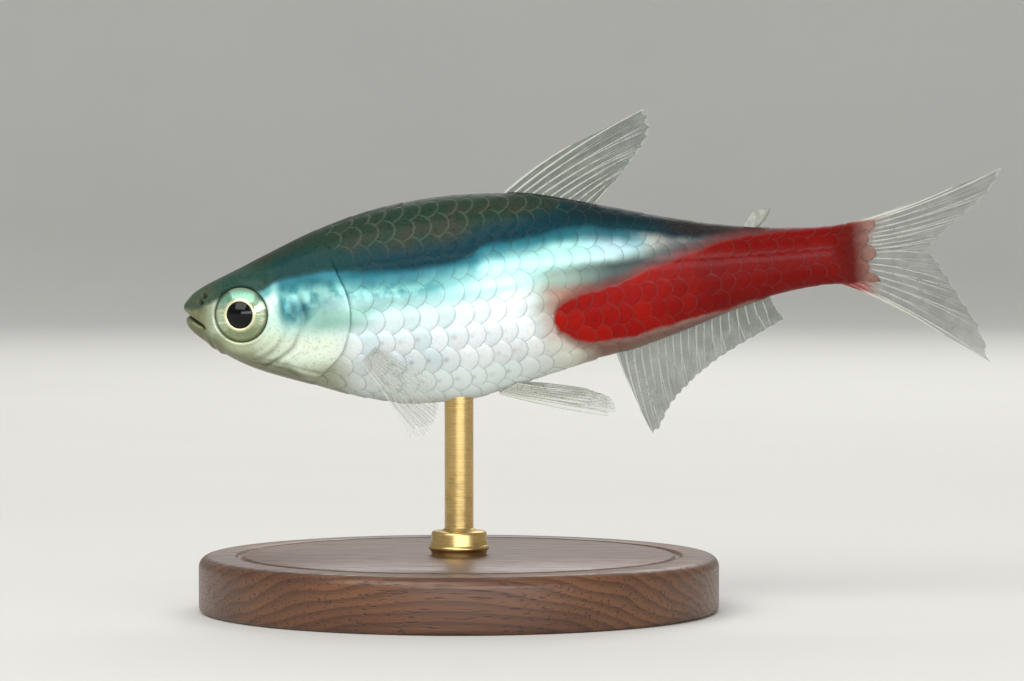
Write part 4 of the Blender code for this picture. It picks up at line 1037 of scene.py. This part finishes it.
def coat_tree(finish):
    """Sets a scale on every point, each turned, tilted and sized a little by chance."""
    tree, given, out = new_tree("scale_coat", [
        ("Scale", "NodeSocketObject"), ("Yaw", "NodeSocketFloat"), ("Tilt", "NodeSocketFloat"),
        ("Size Spread", "NodeSocketFloat"), ("Seed", "NodeSocketInt")])
    shape = add(tree, "GeometryNodeObjectInfo", {"Object": given["Scale"]})
    chances = []
    for i, label in enumerate(("Yaw", "Tilt", "Size Spread")):
        seed = add(tree, "ShaderNodeMath", {0: given["Seed"], 1: float(i)}, operation="ADD")
        least = add(tree, "ShaderNodeMath", {0: given[label], 1: -1.0}, operation="MULTIPLY")
        chances.append(add(tree, "FunctionNodeRandomValue", {2: least.outputs[0], 3: given[label],
                                                             8: seed.outputs[0]}))
    turn = add(tree, "ShaderNodeCombineXYZ", {1: chances[1].outputs[1], 2: chances[0].outputs[1]})
    size = add(tree, "ShaderNodeMath", {0: chances[2].outputs[1], 1: 1.0}, operation="ADD")
    laid = add(tree, "GeometryNodeInstanceOnPoints", {
        "Points": given["Geometry"], "Instance": shape.outputs["Geometry"],
        "Rotation": turn.outputs[0], "Scale": size.outputs[0]})
    tone = add(tree, "FunctionNodeRandomValue", {2: 0.0, 3: 1.0, 8: given["Seed"]})
    toned = add(tree, "GeometryNodeStoreNamedAttribute", {"Geometry": laid.outputs[0], "Name": "tone",
                                                          "Value": tone.outputs[1]}, domain="INSTANCE")
    real = add(tree, "GeometryNodeRealizeInstances", {"Geometry": toned.outputs[0]})
    done = add(tree, "GeometryNodeSetMaterial", {"Geometry": real.outputs[0], "Material": finish})
    tree.links.new(done.outputs[0], out)
    return tree


class Girths:
    """Finds the girth at an arc length, measured on the body from the middle of the side, up."""

    REACH = (0.12, 1.06)  # stations between which it can be asked

    def __init__(self):
        self.stations = np.linspace(*self.REACH, ARC_TABLE[0])
        self.girth = np.linspace(0, math.pi, ARC_TABLE[1])
        self.arcs = []
        for station in self.stations:
            ring = plain_body(np.full_like(self.girth, station), self.girth)
            run = np.concatenate([[0], np.cumsum(np.linalg.norm(np.diff(ring, axis=0), axis=1))])
            self.arcs.append(run - run[len(run) // 2])
        self.arcs = np.array(self.arcs)
        self.up = smooth_curve(list(zip(self.stations, self.arcs[:, -1])))
        self.down = smooth_curve(list(zip(self.stations, -self.arcs[:, 0])))

    def at(self, station, arc):
        """The girth, from a little below 0 to a little past pi where the arc runs over the ridge."""
        up, down = self.up(station), self.down(station)
        over, under = arc > up, arc < -down
        folded = np.where(over, 2 * up - arc, np.where(under, -2 * down - arc, arc))
        step = self.stations[1] - self.stations[0]
        place_in = np.clip((station - self.stations[0]) / step, 0, len(self.stations) - 1.001)
        row = place_in.astype(int)
        found = np.zeros_like(station)
        for i in np.unique(row):
            here = row == i
            low = np.interp(folded[here], self.arcs[i], self.girth)
            high = np.interp(folded[here], self.arcs[i + 1], self.girth)
            found[here] = low + (high - low) * (place_in[here] - i)
        return np.where(over, math.tau - found, np.where(under, -found, found))


def scale_station(column):
    """Station of a place along a row of scales; they get a little shorter towards the tail."""
    share = column / SCALES_ALONG
    eased = (1 + SHORTENING) * share - SHORTENING * share * share
    return SCALES_START + (SCALES_END - SCALES_START) * eased


def row_height(girths, station):
    """Height of a row of scales, less where the body is slim."""
    whole = girths.up(station) + girths.down(station)
    most = float(girths.up(FULL_GIRTH) + girths.down(FULL_GIRTH))
    return ROW_PITCH * (1 - ROW_SLIMMING + ROW_SLIMMING * whole / most)


def scale_roots(girths):
    """Where the scales root, in rows and columns: (column, row, side, lane)."""
    ahead = SHOWN * SCALE_LENGTH / SCALE_PITCH
    past = EDGE_ROWS * ROW_PITCH
    roots = []
    for row in range(-ROWS_EACH_WAY, ROWS_EACH_WAY + 1):
        for i in range(-COLUMNS_AHEAD, SCALES_ALONG):
            column = i + 0.5 * (row % 2)  # every other row lies half a scale further back
            shown = np.array([scale_station(column + ahead)])
            arc = row * row_height(girths, shown)
            inside = -girths.down(shown) - past < arc and arc < girths.up(shown) + past
            if not inside or shown > LAST_SCALE:
                continue
            level = -np.cos(girths.at(shown, arc))
            if shown[0] > gill_opening(level)[0] + BEHIND_GILL:
                roots += [(column, row, side, 0) for side in (-1, 1)]
    for lane, spans in RIDGE_ROWS:
        for i in range(-RIDGE_COLUMNS_AHEAD, SCALES_ALONG):
            shown = scale_station(i + ahead)
            if any(start < shown < end for start, end in spans):
                roots.append((i, 0, -1, lane))
    return np.array(roots, dtype=float)


def arc_in_lane(girths, station, arc, lane):
    """The arc length of a spot, counted from the side or, in a lane over a ridge, from that ridge."""
    return arc + np.where(lane > 0, girths.up(station), 0) - np.where(lane < 0, girths.down(station), 0)


def make_scales(finish):
    """The coat of scales, laid out flat by geometry nodes and then wrapped round the body."""
    girths = Girths()
    roots = scale_roots(girths)
    flat = np.stack([roots[:, 0] * SCALE_PITCH, roots[:, 1] * ROW_PITCH, np.zeros(len(roots))], axis=1)
    field = new_mesh("scale_field", flat, [], {"root": roots[:, :3], "lane": roots[:, 3]})
    plate = bpy.data.objects.new("scale_plate", scale_plate())
    chances = {"Yaw": math.radians(2.5), "Tilt": math.radians(0.5), "Size Spread": 0.05, "Seed": 7}
    made = grow(field, coat_tree(finish), {"Scale": plate, **chances})
    bpy.data.objects.remove(plate, do_unlink=True)
    points = points_of(made)
    root, lane, plate = mark_of(made, "root", 3), mark_of(made, "lane", 1), mark_of(made, "plate", 3)
    station = scale_station(points[:, 0] / SCALE_PITCH)
    pitch = row_height(girths, np.clip(station, *ROW_HEIGHT_SPAN))
    girth = girths.at(station, arc_in_lane(girths, station, points[:, 1] / ROW_PITCH * pitch, lane))
    plain = plain_body(station, girth)
    sunk = COAT_DEPTH * SCALE_LEAN * (1 - plate[:, 0]) * pitch / ROW_PITCH
    lift = points[:, 2] - sunk + RIDGE_LIFT * np.abs(lane)
    pore_height, pore_width = PORE
    pores = (root[:, 1] == 0) & (root[:, 0] < PORE_SCALES) & (lane == 0)
    lift = lift + pores * pore_height * bump(plate[:, 1], pore_width) * smooth_step(plate[:, 0], *PORE_START)
    wrapped = plain + body_normal(station, girth) * lift[:, None]
    body = np.stack([station, plain[:, 2] / STANDARD_LENGTH, -np.cos(girth)], axis=1)
    side = np.where(root[:, 2] > 0, -1.0, 1.0)
    wrapped[:, 1] *= side
    made.vertices.foreach_set("co", place(wrapped).ravel())
    set_marks(made, {"body": body, "rim": np.clip(plate[:, 2], 0, 1)})

    # Each scale's colours come from its root's place on the skin, laid out flat
    root_station = scale_station(root[:, 0] + SHOWN * SCALE_LENGTH / SCALE_PITCH)
    root_arc = arc_in_lane(girths, root_station, root[:, 1] * row_height(girths, root_station), lane)
    around = np.mod(girths.at(root_station, root_arc) / math.tau, 1)
    around = np.where(side < 0, 1 - around, around)
    spot = np.stack([root_station / LAST_STATION, around], axis=1)
    spread = np.stack([plate[:, 0] - 0.5, plate[:, 1] / 2], axis=1) * PATCH_ON_MAP
    patch = MAP_MARGIN + (1 - 3 * MAP_MARGIN) * spot + spread
    for layer in list(made.uv_layers):
        made.uv_layers.remove(layer)
    layer = made.uv_layers.new(name="OFBake")
    corners = np.zeros(len(made.loops), dtype=np.int32)
    made.loops.foreach_get("vertex_index", corners)
    layer.data.foreach_set("uv", patch[corners].astype(np.float32).ravel())
    finish_piece("scale_coat", made, finish, "skin", sharp=SHARP_ON_SCALES)


# Eyes
def eye_outline():
    """Half outline of the eyeball, (radius, height): lens, pupil's edge, iris, then the back."""
    over, under = LENS
    lens = [(PUPIL_RADIUS * s, EYE_DOME + over - under * s * s) for s in np.linspace(0, LENS_END, 12)]
    dome_there = EYE_DOME * (1 - (PUPIL_RADIUS / EYE_RADIUS) ** 2)
    pupil_edge = [(PUPIL_RADIUS * share, dome_there + height) for share, height in PUPIL_EDGE]
    inner = PUPIL_RADIUS / EYE_RADIUS * IRIS_START
    iris = []
    for s in np.linspace(inner, IRIS_END, 10):
        hollow = IRIS_HOLLOW * math.sin(math.pi * (s - inner) / (1 - inner))
        iris.append((EYE_RADIUS * s, EYE_DOME * (1 - s * s) - hollow))
    rear = [(EYE_RADIUS * math.cos(a), -EYE_DEPTH * math.sin(a)) for a in np.radians((0, 20, 40, 60, 78))]
    return lens + pupil_edge + iris + rear + [(0, -EYE_DEPTH)]


def make_eyes(finish):
    """Two eyeballs, each turned out of one outline; the material reads where on the iris it is."""
    segments = EYE_SEGMENTS
    outline = eye_outline()
    for side, label in ((-1, "left"), (1, "right")):
        centre, outward = surface_at(EYE_STATION, EYE_HEIGHT, side)
        outward = Vector(outward)
        up = (Vector((0, 0, 1)) - outward * outward.z).normalized()
        along = up.cross(outward)
        axes = np.array((along, up, outward))
        local, marks = [], []
        for radius, height in outline[1:-1]:
            for i in range(segments):
                turn = math.tau * i / segments
                local.append((radius * math.cos(turn), radius * math.sin(turn), height))
                out = radius / EYE_RADIUS if height > EYE_FRONT else 1.0
                rise = math.sin(turn) * radius / EYE_RADIUS
                # The third value tells the spokes of the iris from one another
                marks.append((out, rise, math.cos(turn) + 2 * math.sin(2 * turn)))
        local += [(0, 0, outline[0][1]), (0, 0, outline[-1][1])]
        marks += [(0, 0, 0), (1, 0, 0)]
        faces = closed_rings(len(outline) - 2, segments)
        points = centre - np.array(outward) * EYE_SINK + np.array(local) @ axes
        mesh = new_mesh(f"eyeball_{label}", place(points), faces, {"iris": np.array(marks)})
        finish_piece(f"eyeball_{label}", mesh, finish, "eye", f"eye_{label}", sharp=NEVER_SHARP)


# Fins
def edge_line(edge, side=1):
    """A fin's edge as a smooth run; its points hold the share of the fan, station, side and height."""
    points = [point if len(point) == 4 else (point[0], point[1], 0, point[2]) for point in edge]
    curves = [smooth_curve([(point[0], point[axis]) for point in points]) for axis in (1, 2, 3)]
    mirror = np.array((1, side, 1))
    return lambda t: np.stack([curve(t) for curve in curves], axis=-1) * STANDARD_LENGTH * mirror


def root_line(root, side, sunk):
    """A paired fin's root, from its leading ray to the last, sunk a little into the body."""
    start, end = np.array(root, dtype=float)
    mirror = np.array((1, side, 1))
    return lambda t: (start + (end - start) * np.asarray(t)[..., None] - sunk) * STANDARD_LENGTH * mirror


def root_on_skin(root, outline, direction):
    """An unpaired fin's root, under the skin of the back (direction 1) or the belly (-1)."""
    first, last = root

    def line(t):
        station = first + (last - first) * np.asarray(t)
        height = outline(station) * STANDARD_LENGTH - MEDIAN_SUNK
        return np.stack([station * STANDARD_LENGTH, np.zeros_like(station), direction * height], axis=-1)

    return line


def root_on_tail_end(outer):
    """A tail lobe's root inside the end of the tail, from its outer ray to the middle."""
    first, behind = LOBE_ROOT_STATION
    share, least = LOBE_ROOT_HEIGHT

    def line(t):
        height = outer * share * (1 - np.asarray(t)) + math.copysign(least, outer) * np.asarray(t)
        station = first + behind * np.asarray(t)
        return np.stack([station, np.zeros_like(station), height], axis=-1) * STANDARD_LENGTH

    return line


class Fan:
    """The sheet of one fin. t runs over the fan from the leading ray to the last, share along a ray.

    Its rays bow, fork so many times from the first forked one on, and it waves a little; the flush is
    how strong the red is that runs out on it from the tail."""

    def __init__(self, name, nodes, root, edge, face, rays, bow=0.0, forks=2, flush=0.0, wave=0.0, first=2):
        self.name = name
        self.nodes = nodes
        self.root = root
        self.edge = edge
        self.face = np.array(face, dtype=float)
        self.rays = rays
        self.bow = bow
        self.forks = forks
        self.flush = flush
        self.wave = wave
        self.first = first

    def at(self, t, share, out=0.0):
        t, share = np.broadcast_arrays(np.asarray(t, dtype=float), np.asarray(share, dtype=float))
        start, end = self.root(t), self.edge(t)
        across = np.cross(self.face, end - start)
        run = share[..., None]
        middle = start + (end - start) * run + across * self.bow * 4 * run * (1 - run)
        ripple = self.wave * share * share * np.sin(FAN_WAVE[0] * t + FAN_WAVE[1])
        return middle + self.face * (np.asarray(out) + ripple)[..., None]


def twigs(fan, index):
    """The pieces of one ray, each (t at start, t at end, share at start, share at end, thickness)."""
    spacing = 1 / (fan.rays - 1)
    t = index * spacing
    if index < fan.first or fan.forks == 0:
        return [(t, t, 0.0, 1.0, WHOLE_RAY)]
    first_fork = FIRST_FORK[0] + FIRST_FORK[1] * math.sin(index * FIRST_FORK[2])
    second_fork = SECOND_FORK[0] + SECOND_FORK[1] * math.cos(index * SECOND_FORK[2])
    made = [(t, t, 0.0, first_fork, 1.0)]
    for way in (-1, 1):
        middle = np.clip(t + way * BRANCH_SPREAD * spacing, 0, 1)
        if fan.forks == 1:
            made.append((t, middle + way * TIP_SPREAD * spacing, first_fork, TWIG_END, FORKED_ONCE))
            continue
        made.append((t, middle, first_fork, second_fork, FORKED_TWICE[0]))
        for turn in (-1, 1):
            end = np.clip(t + (way * TIPS_SPREAD[0] + turn * TIPS_SPREAD[1]) * spacing, 0, 1)
            made.append((middle, end, second_fork, TWIG_END, FORKED_TWICE[1]))
    return made


def ray_tree(finish):
    """Turns each line of a mesh into a closed round ray, as thick as the line says at each point."""
    tree, given, out = new_tree("fin_rays", [("Sides", "NodeSocketInt")])
    lines = add(tree, "GeometryNodeMeshToCurve", {"Mesh": given["Geometry"]})
    thick = add(tree, "GeometryNodeInputNamedAttribute", {"Name": "thickness"})
    profile = add(tree, "GeometryNodeCurvePrimitiveCircle", {"Resolution": given["Sides"], "Radius": 1.0})
    swept = add(tree, "GeometryNodeCurveToMesh", {
        "Curve": lines.outputs[0], "Profile Curve": profile.outputs[0], "Scale": thick.outputs[0],
        "Fill Caps": True})
    real = add(tree, "GeometryNodeRealizeInstances", {"Geometry": swept.outputs[0]})
    done = add(tree, "GeometryNodeSetMaterial", {"Geometry": real.outputs[0], "Material": finish})
    tree.links.new(done.outputs[0], out)
    return tree


def make_rays(fan, tree, finish, extra=()):
    """All rays of a fin; extra rays are (start, end, thickness), straight and short."""
    points, edges, thickness, cane = [], [], [], []

    def line(spots, thick, lead, flush):
        start = len(points)
        run = np.concatenate([[0], np.cumsum(np.linalg.norm(np.diff(spots, axis=0), axis=1))]) / MM
        points.extend(spots)
        thickness.extend(thick)
        cane.extend(np.stack([run, np.broadcast_to(lead, run.shape), flush], axis=1))
        edges.extend((start + i, start + i + 1) for i in range(len(spots) - 1))

    for index in range(fan.rays):
        lead = max(0.0, 1 - index / LEADING_RAYS)
        for t0, t1, s0, s1, size in twigs(fan, index):
            steps = np.linspace(0, 1, max(LEAST_STEPS, int(RAY_STEPS * (s1 - s0))))
            share = s0 + (s1 - s0) * steps
            t = t0 + (t1 - t0) * smooth_step(steps, BRANCH_START, 1.0)
            thick = RAY_RADIUS * size * (1 - RAY_TAPER * share)
            joints = 1 - JOINT_NECK * (np.arange(len(steps)) % 2) * (share > JOINTS_START)
            line(fan.at(t, share), thick * joints, lead, fan.flush * (1 - smooth_step(share, *RAY_FLUSH)))
    for start, end, size in extra:
        steps = np.linspace(0, 1, SHORT_RAY_STEPS)[:, None]
        spots = np.array(start) + (np.array(end) - np.array(start)) * steps
        thick = RAY_RADIUS * size * (1 - SHORT_RAY_TAPER * steps[:, 0])
        line(spots, thick, SHORT_RAY_LEAD, fan.flush * (1 - steps[:, 0]))
    net = new_mesh(f"{fan.name}_lines", place(points), [], {"thickness": thickness, "cane": cane}, edges)
    made = grow(net, tree, {"Sides": RAY_SIDES})
    made.name = f"{fan.name}_rays"
    finish_piece(f"{fan.name}_rays", made, finish, "fin_membrane", *fan.nodes)


def make_membrane(fan, finish):
    """The closed film between the rays; it hangs a little slack and ends short between two rays."""
    across, rows = MEMBRANE_COLUMNS * (fan.rays - 1) + 1, MEMBRANE_ROWS
    t = np.linspace(0, 1, across)
    between = np.abs(np.sin(math.pi * t * (fan.rays - 1)))
    reach = 1 - SCALLOP[0] * between - SCALLOP[1] * np.abs(np.sin(SCALLOP_WAVES * math.pi * t))
    hang = np.sign(np.sin(SLACK_TURN * t * (fan.rays - 1)))
    points, flush = [], []
    for face in (-1, 1):
        for share in np.linspace(0, 1, rows):
            slack = SLACK * between * math.sin(math.pi * share) * hang
            half = MEMBRANE * (MEMBRANE_TAPER[0] - MEMBRANE_TAPER[1] * share)
            points.append(fan.at(t, share * reach, slack + face * half))
            flush += [fan.flush * (1 - float(smooth_step(share, *FILM_FLUSH)))] * across
    marks = {"flush": flush}
    mesh = new_mesh(f"{fan.name}_membrane", place(np.concatenate(points)), two_sheets(rows, across), marks)
    finish_piece(f"{fan.name}_membrane", mesh, finish, "fin_membrane", *fan.nodes)


def all_fans():
    """Every fin that has rays: back, anal, both lobes of the tail, and the two pairs."""
    flat = (0, 1, 0)
    fans = [
        Fan("dorsal", ["dorsal_fin"], root_on_skin(DORSAL_ROOT, back, 1), edge_line(DORSAL_EDGE), flat,
            DORSAL_RAYS, DORSAL_BOW, wave=0.05 * MM),
        Fan("anal", ["anal_fin"], root_on_skin(ANAL_ROOT, belly, -1), edge_line(ANAL_EDGE), flat,
            ANAL_RAYS, ANAL_BOW, forks=1, wave=0.04 * MM, first=3)]
    for label, root, edge, rays, bow in (
            ("upper", UPPER_LOBE_ROOT, UPPER_LOBE_EDGE, UPPER_LOBE_RAYS, UPPER_LOBE_BOW),
            ("lower", LOWER_LOBE_ROOT, LOWER_LOBE_EDGE, LOWER_LOBE_RAYS, LOWER_LOBE_BOW)):
        fans.append(Fan(f"caudal_{label}", [f"caudal_fin_{label}"], root_on_tail_end(root), edge_line(edge),
                        flat, rays, bow, flush=0.9, wave=0.05 * MM, first=1))
    for side, label in ((-1, "left"), (1, "right")):
        for part, root, edge, rays, bow, sunk in (
                ("pelvic", PELVIC_ROOT, PELVIC_EDGE, PELVIC_RAYS, PELVIC_BOW, PELVIC_SUNK),
                ("pectoral", PECTORAL_ROOT, PECTORAL_EDGE, PECTORAL_RAYS, PECTORAL_BOW, PECTORAL_SUNK)):
            root_run, edge_run = root_line(root, side, np.array(sunk)), edge_line(edge, side)
            face = np.cross(edge_run(0.1) - edge_run(0.9), edge_run(0.5) - root_run(0.5))
            face = face / np.linalg.norm(face)
            fans.append(Fan(f"{part}_{label}", [f"{part}_fin_{label}"], root_run, edge_run, face, rays,
                            side * bow, forks=1, wave=0.03 * MM, first=1))
    return fans


def first_tail_rays(fan):
    """The short, stiff rays that lean on the first long ray of a tail lobe."""
    upper = fan.name == "caudal_upper"
    direction = 1 if upper else -1
    outline = back if upper else belly
    rays = []
    for i in range(SHORT_RAYS):
        station = SHORT_RAYS_START + SHORT_RAY_STEP * i
        height = direction * (float(outline(station)) - SHORT_RAY_SUNK)
        root = np.array((station, 0, height)) * STANDARD_LENGTH
        off = direction * (SHORT_RAY_OFF[0] + SHORT_RAY_OFF[1] * i) * MM
        tip = fan.at(0.0, SHORT_RAY_REACH[0] + SHORT_RAY_REACH[1] * i) + np.array((0, 0, off))
        rays.append((root, tip, SHORT_RAY_SIZE))
    return rays


def make_adipose(finish):
    """The small fleshy fin on the back, with no rays in it: a thick, half clear, rounded lobe."""
    fan = Fan("adipose", ["adipose_fin"], root_on_skin(ADIPOSE_ROOT, back, 1), edge_line(ADIPOSE_EDGE),
              (0, 1, 0), rays=0, bow=ADIPOSE_BOW)
    across, rows = ADIPOSE_SIZE
    sides, edge = ADIPOSE_LEAST
    t = np.linspace(0, 1, across)
    reach = 1 - ADIPOSE_ROUNDING * np.abs(2 * t - 1) ** 3
    points = []
    for face in (-1, 1):
        for share in np.linspace(0, 1, rows):
            swell = np.sqrt(np.clip(1 - (2 * t - 1) ** 4, sides, 1)) * math.sqrt(max(1 - share**3, edge))
            points.append(fan.at(t, share * reach, face * ADIPOSE_HALF * swell))
    mesh = new_mesh("adipose_lobe", place(np.concatenate(points)), two_sheets(rows, across))
    finish_piece("adipose_lobe", mesh, finish, "fin_membrane", *fan.nodes, sharp=NEVER_SHARP)


# Stand
def revolved(name, profile, segments):
    """Turns (radius, height) points round Z; the first and last lie on the axis."""
    turns = np.linspace(0, math.tau, segments, endpoint=False)
    points = [np.stack([r * np.cos(turns), r * np.sin(turns), np.full(segments, z)], axis=1)
              for r, z in profile[1:-1]]
    points = np.concatenate(points + [[(0, 0, profile[0][1])], [(0, 0, profile[-1][1])]])
    return new_mesh(name, points, closed_rings(len(profile) - 2, segments))


def arc(centre, radius, start, end, count):
    """Points of an arc in (radius, height), angles in degrees from +radius towards +height."""
    return [(centre[0] + radius * math.cos(a), centre[1] + radius * math.sin(a))
            for a in np.radians(np.linspace(start, end, count))]


def make_stand(wood, metal):
    """A turned disc with a rounded edge and one cut line, and a rod in a collar up to the belly."""
    cut_in, cut_radius = CUT_LINE
    line = BASE_RADIUS - cut_in
    profile = [(0, 0), (BASE_RADIUS - BASE_FOOT, 0)]
    profile += arc((BASE_RADIUS - BASE_FOOT, BASE_FOOT), BASE_FOOT, -70, 0, 5)
    profile += arc((BASE_RADIUS - BASE_EDGE, BASE_HEIGHT - BASE_EDGE), BASE_EDGE, 0, 90, 9)
    profile += [(line + CUT_EDGE * cut_radius, BASE_HEIGHT)]
    profile += arc((line, BASE_HEIGHT + CUT_RISE * cut_radius), cut_radius, -20, -160, 8)
    profile += [(line - CUT_EDGE * cut_radius, BASE_HEIGHT)]
    profile += [(COLLAR_RADIUS * COLLAR_SEAT, BASE_HEIGHT), (0, BASE_HEIGHT)]
    disc = revolved("turned_base", profile, DISC_SEGMENTS)
    finish_piece("turned_base", disc, wood, "stand_wood", "stand_base", sharp=SHARP_ON_STAND)

    collar_top = BASE_HEIGHT + GAP + COLLAR_HEIGHT
    belly_top = AXIS_HEIGHT - float(belly(ROD_STATION)) * STANDARD_LENGTH * math.cos(NOSE_DOWN) + COAT_DEPTH
    profile = [(0, BASE_HEIGHT - GAP), (COLLAR_RADIUS, BASE_HEIGHT - GAP)]
    profile += [(COLLAR_RADIUS, BASE_HEIGHT + GAP / 3)]
    profile += arc((COLLAR_RADIUS - BEAD_SUNK, BASE_HEIGHT + GAP), COLLAR_BEAD, -60, 60, 7)
    profile += arc((COLLAR_RADIUS - COLLAR_ROUND, collar_top - COLLAR_ROUND), COLLAR_ROUND, 0, 90, 6)
    profile += [(ROD_RADIUS + FILLET, collar_top), (ROD_RADIUS, collar_top + FILLET)]
    profile += [(ROD_RADIUS, z) for z in np.linspace(collar_top + GAP, belly_top, 14)]
    profile += [(0, belly_top)]
    rod = revolved("brass_rod", profile, ROD_SEGMENTS)
    points = points_of(rod)
    high = smooth_step(points[:, 2], belly_top - SADDLE, belly_top)
    reach = STANDARD_LENGTH * float(half_width(ROD_STATION))
    saddle = STANDARD_LENGTH * float(belly(ROD_STATION)) * (1 - np.sqrt(1 - (points[:, 1] / reach) ** 2))
    points[:, 2] += high * (saddle + points[:, 0] * math.tan(NOSE_DOWN))
    rod.vertices.foreach_set("co", points.ravel())
    finish_piece("brass_rod", rod, metal, "stand_brass", "stand_rod", sharp=SHARP_ON_STAND)


# Stage, light and camera
def make_stage():
    """A plain pale floor that rises all round into a backdrop, in one sweep."""
    finish, tree, shader = new_finish("pale_paper", Roughness=0.9)
    where = add(tree, "ShaderNodeTexCoord").outputs["Object"]
    fibre = add(tree, "ShaderNodeTexNoise", {"Vector": where, "Scale": 40.0, "Detail": 3.0})
    tint = paint(tree, "#dcdbd7", ("#d2d1cc", 0.3, (fibre.outputs["Fac"], 0.0, 1.0)))
    tree.links.new(tint, shader.inputs["Base Color"])
    reach, sweep, top, flat, segments = 0.60, 0.22, 0.8, 0.2, 96
    profile = [(0, 0), (flat, 0)] + arc((reach - sweep, sweep), sweep, -90, 0, 16) + [(reach, top), (0, top)]
    mesh = revolved("paper_sweep", profile, segments)
    bm = bmesh.new()
    bm.from_mesh(mesh)
    # Without the middle of its top it lets the sky's light in
    bm.verts.remove(max(bm.verts, key=lambda vert: vert.co.z - vert.co.xy.length))
    bmesh.ops.reverse_faces(bm, faces=bm.faces)
    bm.to_mesh(mesh)
    bm.free()
    mesh.shade_smooth()
    mesh.materials.append(finish)
    sheet = bpy.data.objects.new("paper_sweep", mesh)
    bpy.context.scene.collection.objects.link(sheet)


def add_light(name, size, power, position, target, colour="#ffffff"):
    lamp = bpy.data.lights.new(name, "AREA")
    lamp.shape = "RECTANGLE"
    lamp.size, lamp.size_y = size
    lamp.energy = power
    lamp.color = linear(colour)[:3]
    thing = bpy.data.objects.new(name, lamp)
    bpy.context.scene.collection.objects.link(thing)
    thing.location = position
    thing.rotation_euler = (Vector(target) - Vector(position)).to_track_quat("-Z", "Y").to_euler()


def make_lights():
    """Three soft boxes, a wide one high in front, a low strip in front and one behind, in a pale room."""
    middle = (0.002, 0, 0.013)
    add_light("key_softbox", (0.32, 0.22), 0.90, (-0.12, -0.22, 0.24), middle, "#fffcf7")
    add_light("fill_softbox", (0.36, 0.06), 0.50, (0.06, -0.30, 0.055), middle, "#f2f8ff")
    add_light("back_softbox", (0.24, 0.18), 0.45, (0.05, 0.26, 0.22), middle)
    world = bpy.data.worlds.new("studio")
    bpy.context.scene.world = world
    world.use_nodes = True
    sky = world.node_tree.nodes["Background"]
    sky.inputs["Color"].default_value = linear("#eef1f5")
    sky.inputs["Strength"].default_value = 0.62
    bpy.context.scene.view_settings.view_transform = "Standard"


def make_camera():
    """Looks square at the fish's left side and a little down, from so near that it fills the view."""
    view_width = 0.0425
    distance = 0.18
    aim = Vector((0.0022, 0.0, 0.0112))
    tilt = math.radians(2.0)
    data = bpy.data.cameras.new("camera")
    data.sensor_width = 36.0
    data.lens = data.sensor_width * distance / view_width
    data.clip_start = 0.01
    data.clip_end = 10.0
    camera = bpy.data.objects.new("camera", data)
    bpy.context.scene.collection.objects.link(camera)
    camera.location = aim + Vector((0, -math.cos(tilt), math.sin(tilt))) * distance
    camera.rotation_euler = (aim - camera.location).to_track_quat("-Z", "Y").to_euler()
    bpy.context.scene.camera = camera


def main():
    make_camera()
    make_stage()
    make_lights()
    skin = scaled_skin_finish()
    make_skin(skin)
    make_scales(skin)
    make_eyes(eye_finish())
    bone, fine_bone = ray_finish("fin_ray_bone", 0.75), ray_finish("fine_ray_bone", 0.24)
    smoky_film = membrane_finish("smoky_fin_film", 0.46, "#4e564a", "#6d7468")
    fin_film = membrane_finish("fin_film", 0.28, "#5c6058", "#82867b")
    fine_film = membrane_finish("fine_fin_film", 0.06, "#98a096", "#b8beb4")
    finishes = {"dorsal": (bone, smoky_film), "anal": (bone, smoky_film), "caudal": (bone, fin_film),
                "pelvic": (bone, fine_film), "pectoral": (fine_bone, fine_film)}
    tree = ray_tree(bone)
    for fan in all_fans():
        ray, film = finishes[fan.name.split("_")[0]]
        make_rays(fan, tree, ray, first_tail_rays(fan) if fan.name.startswith("caudal") else ())
        make_membrane(fan, film)
    make_adipose(fleshy_fin_finish())
    make_stand(walnut_finish(), brass_finish())


main()
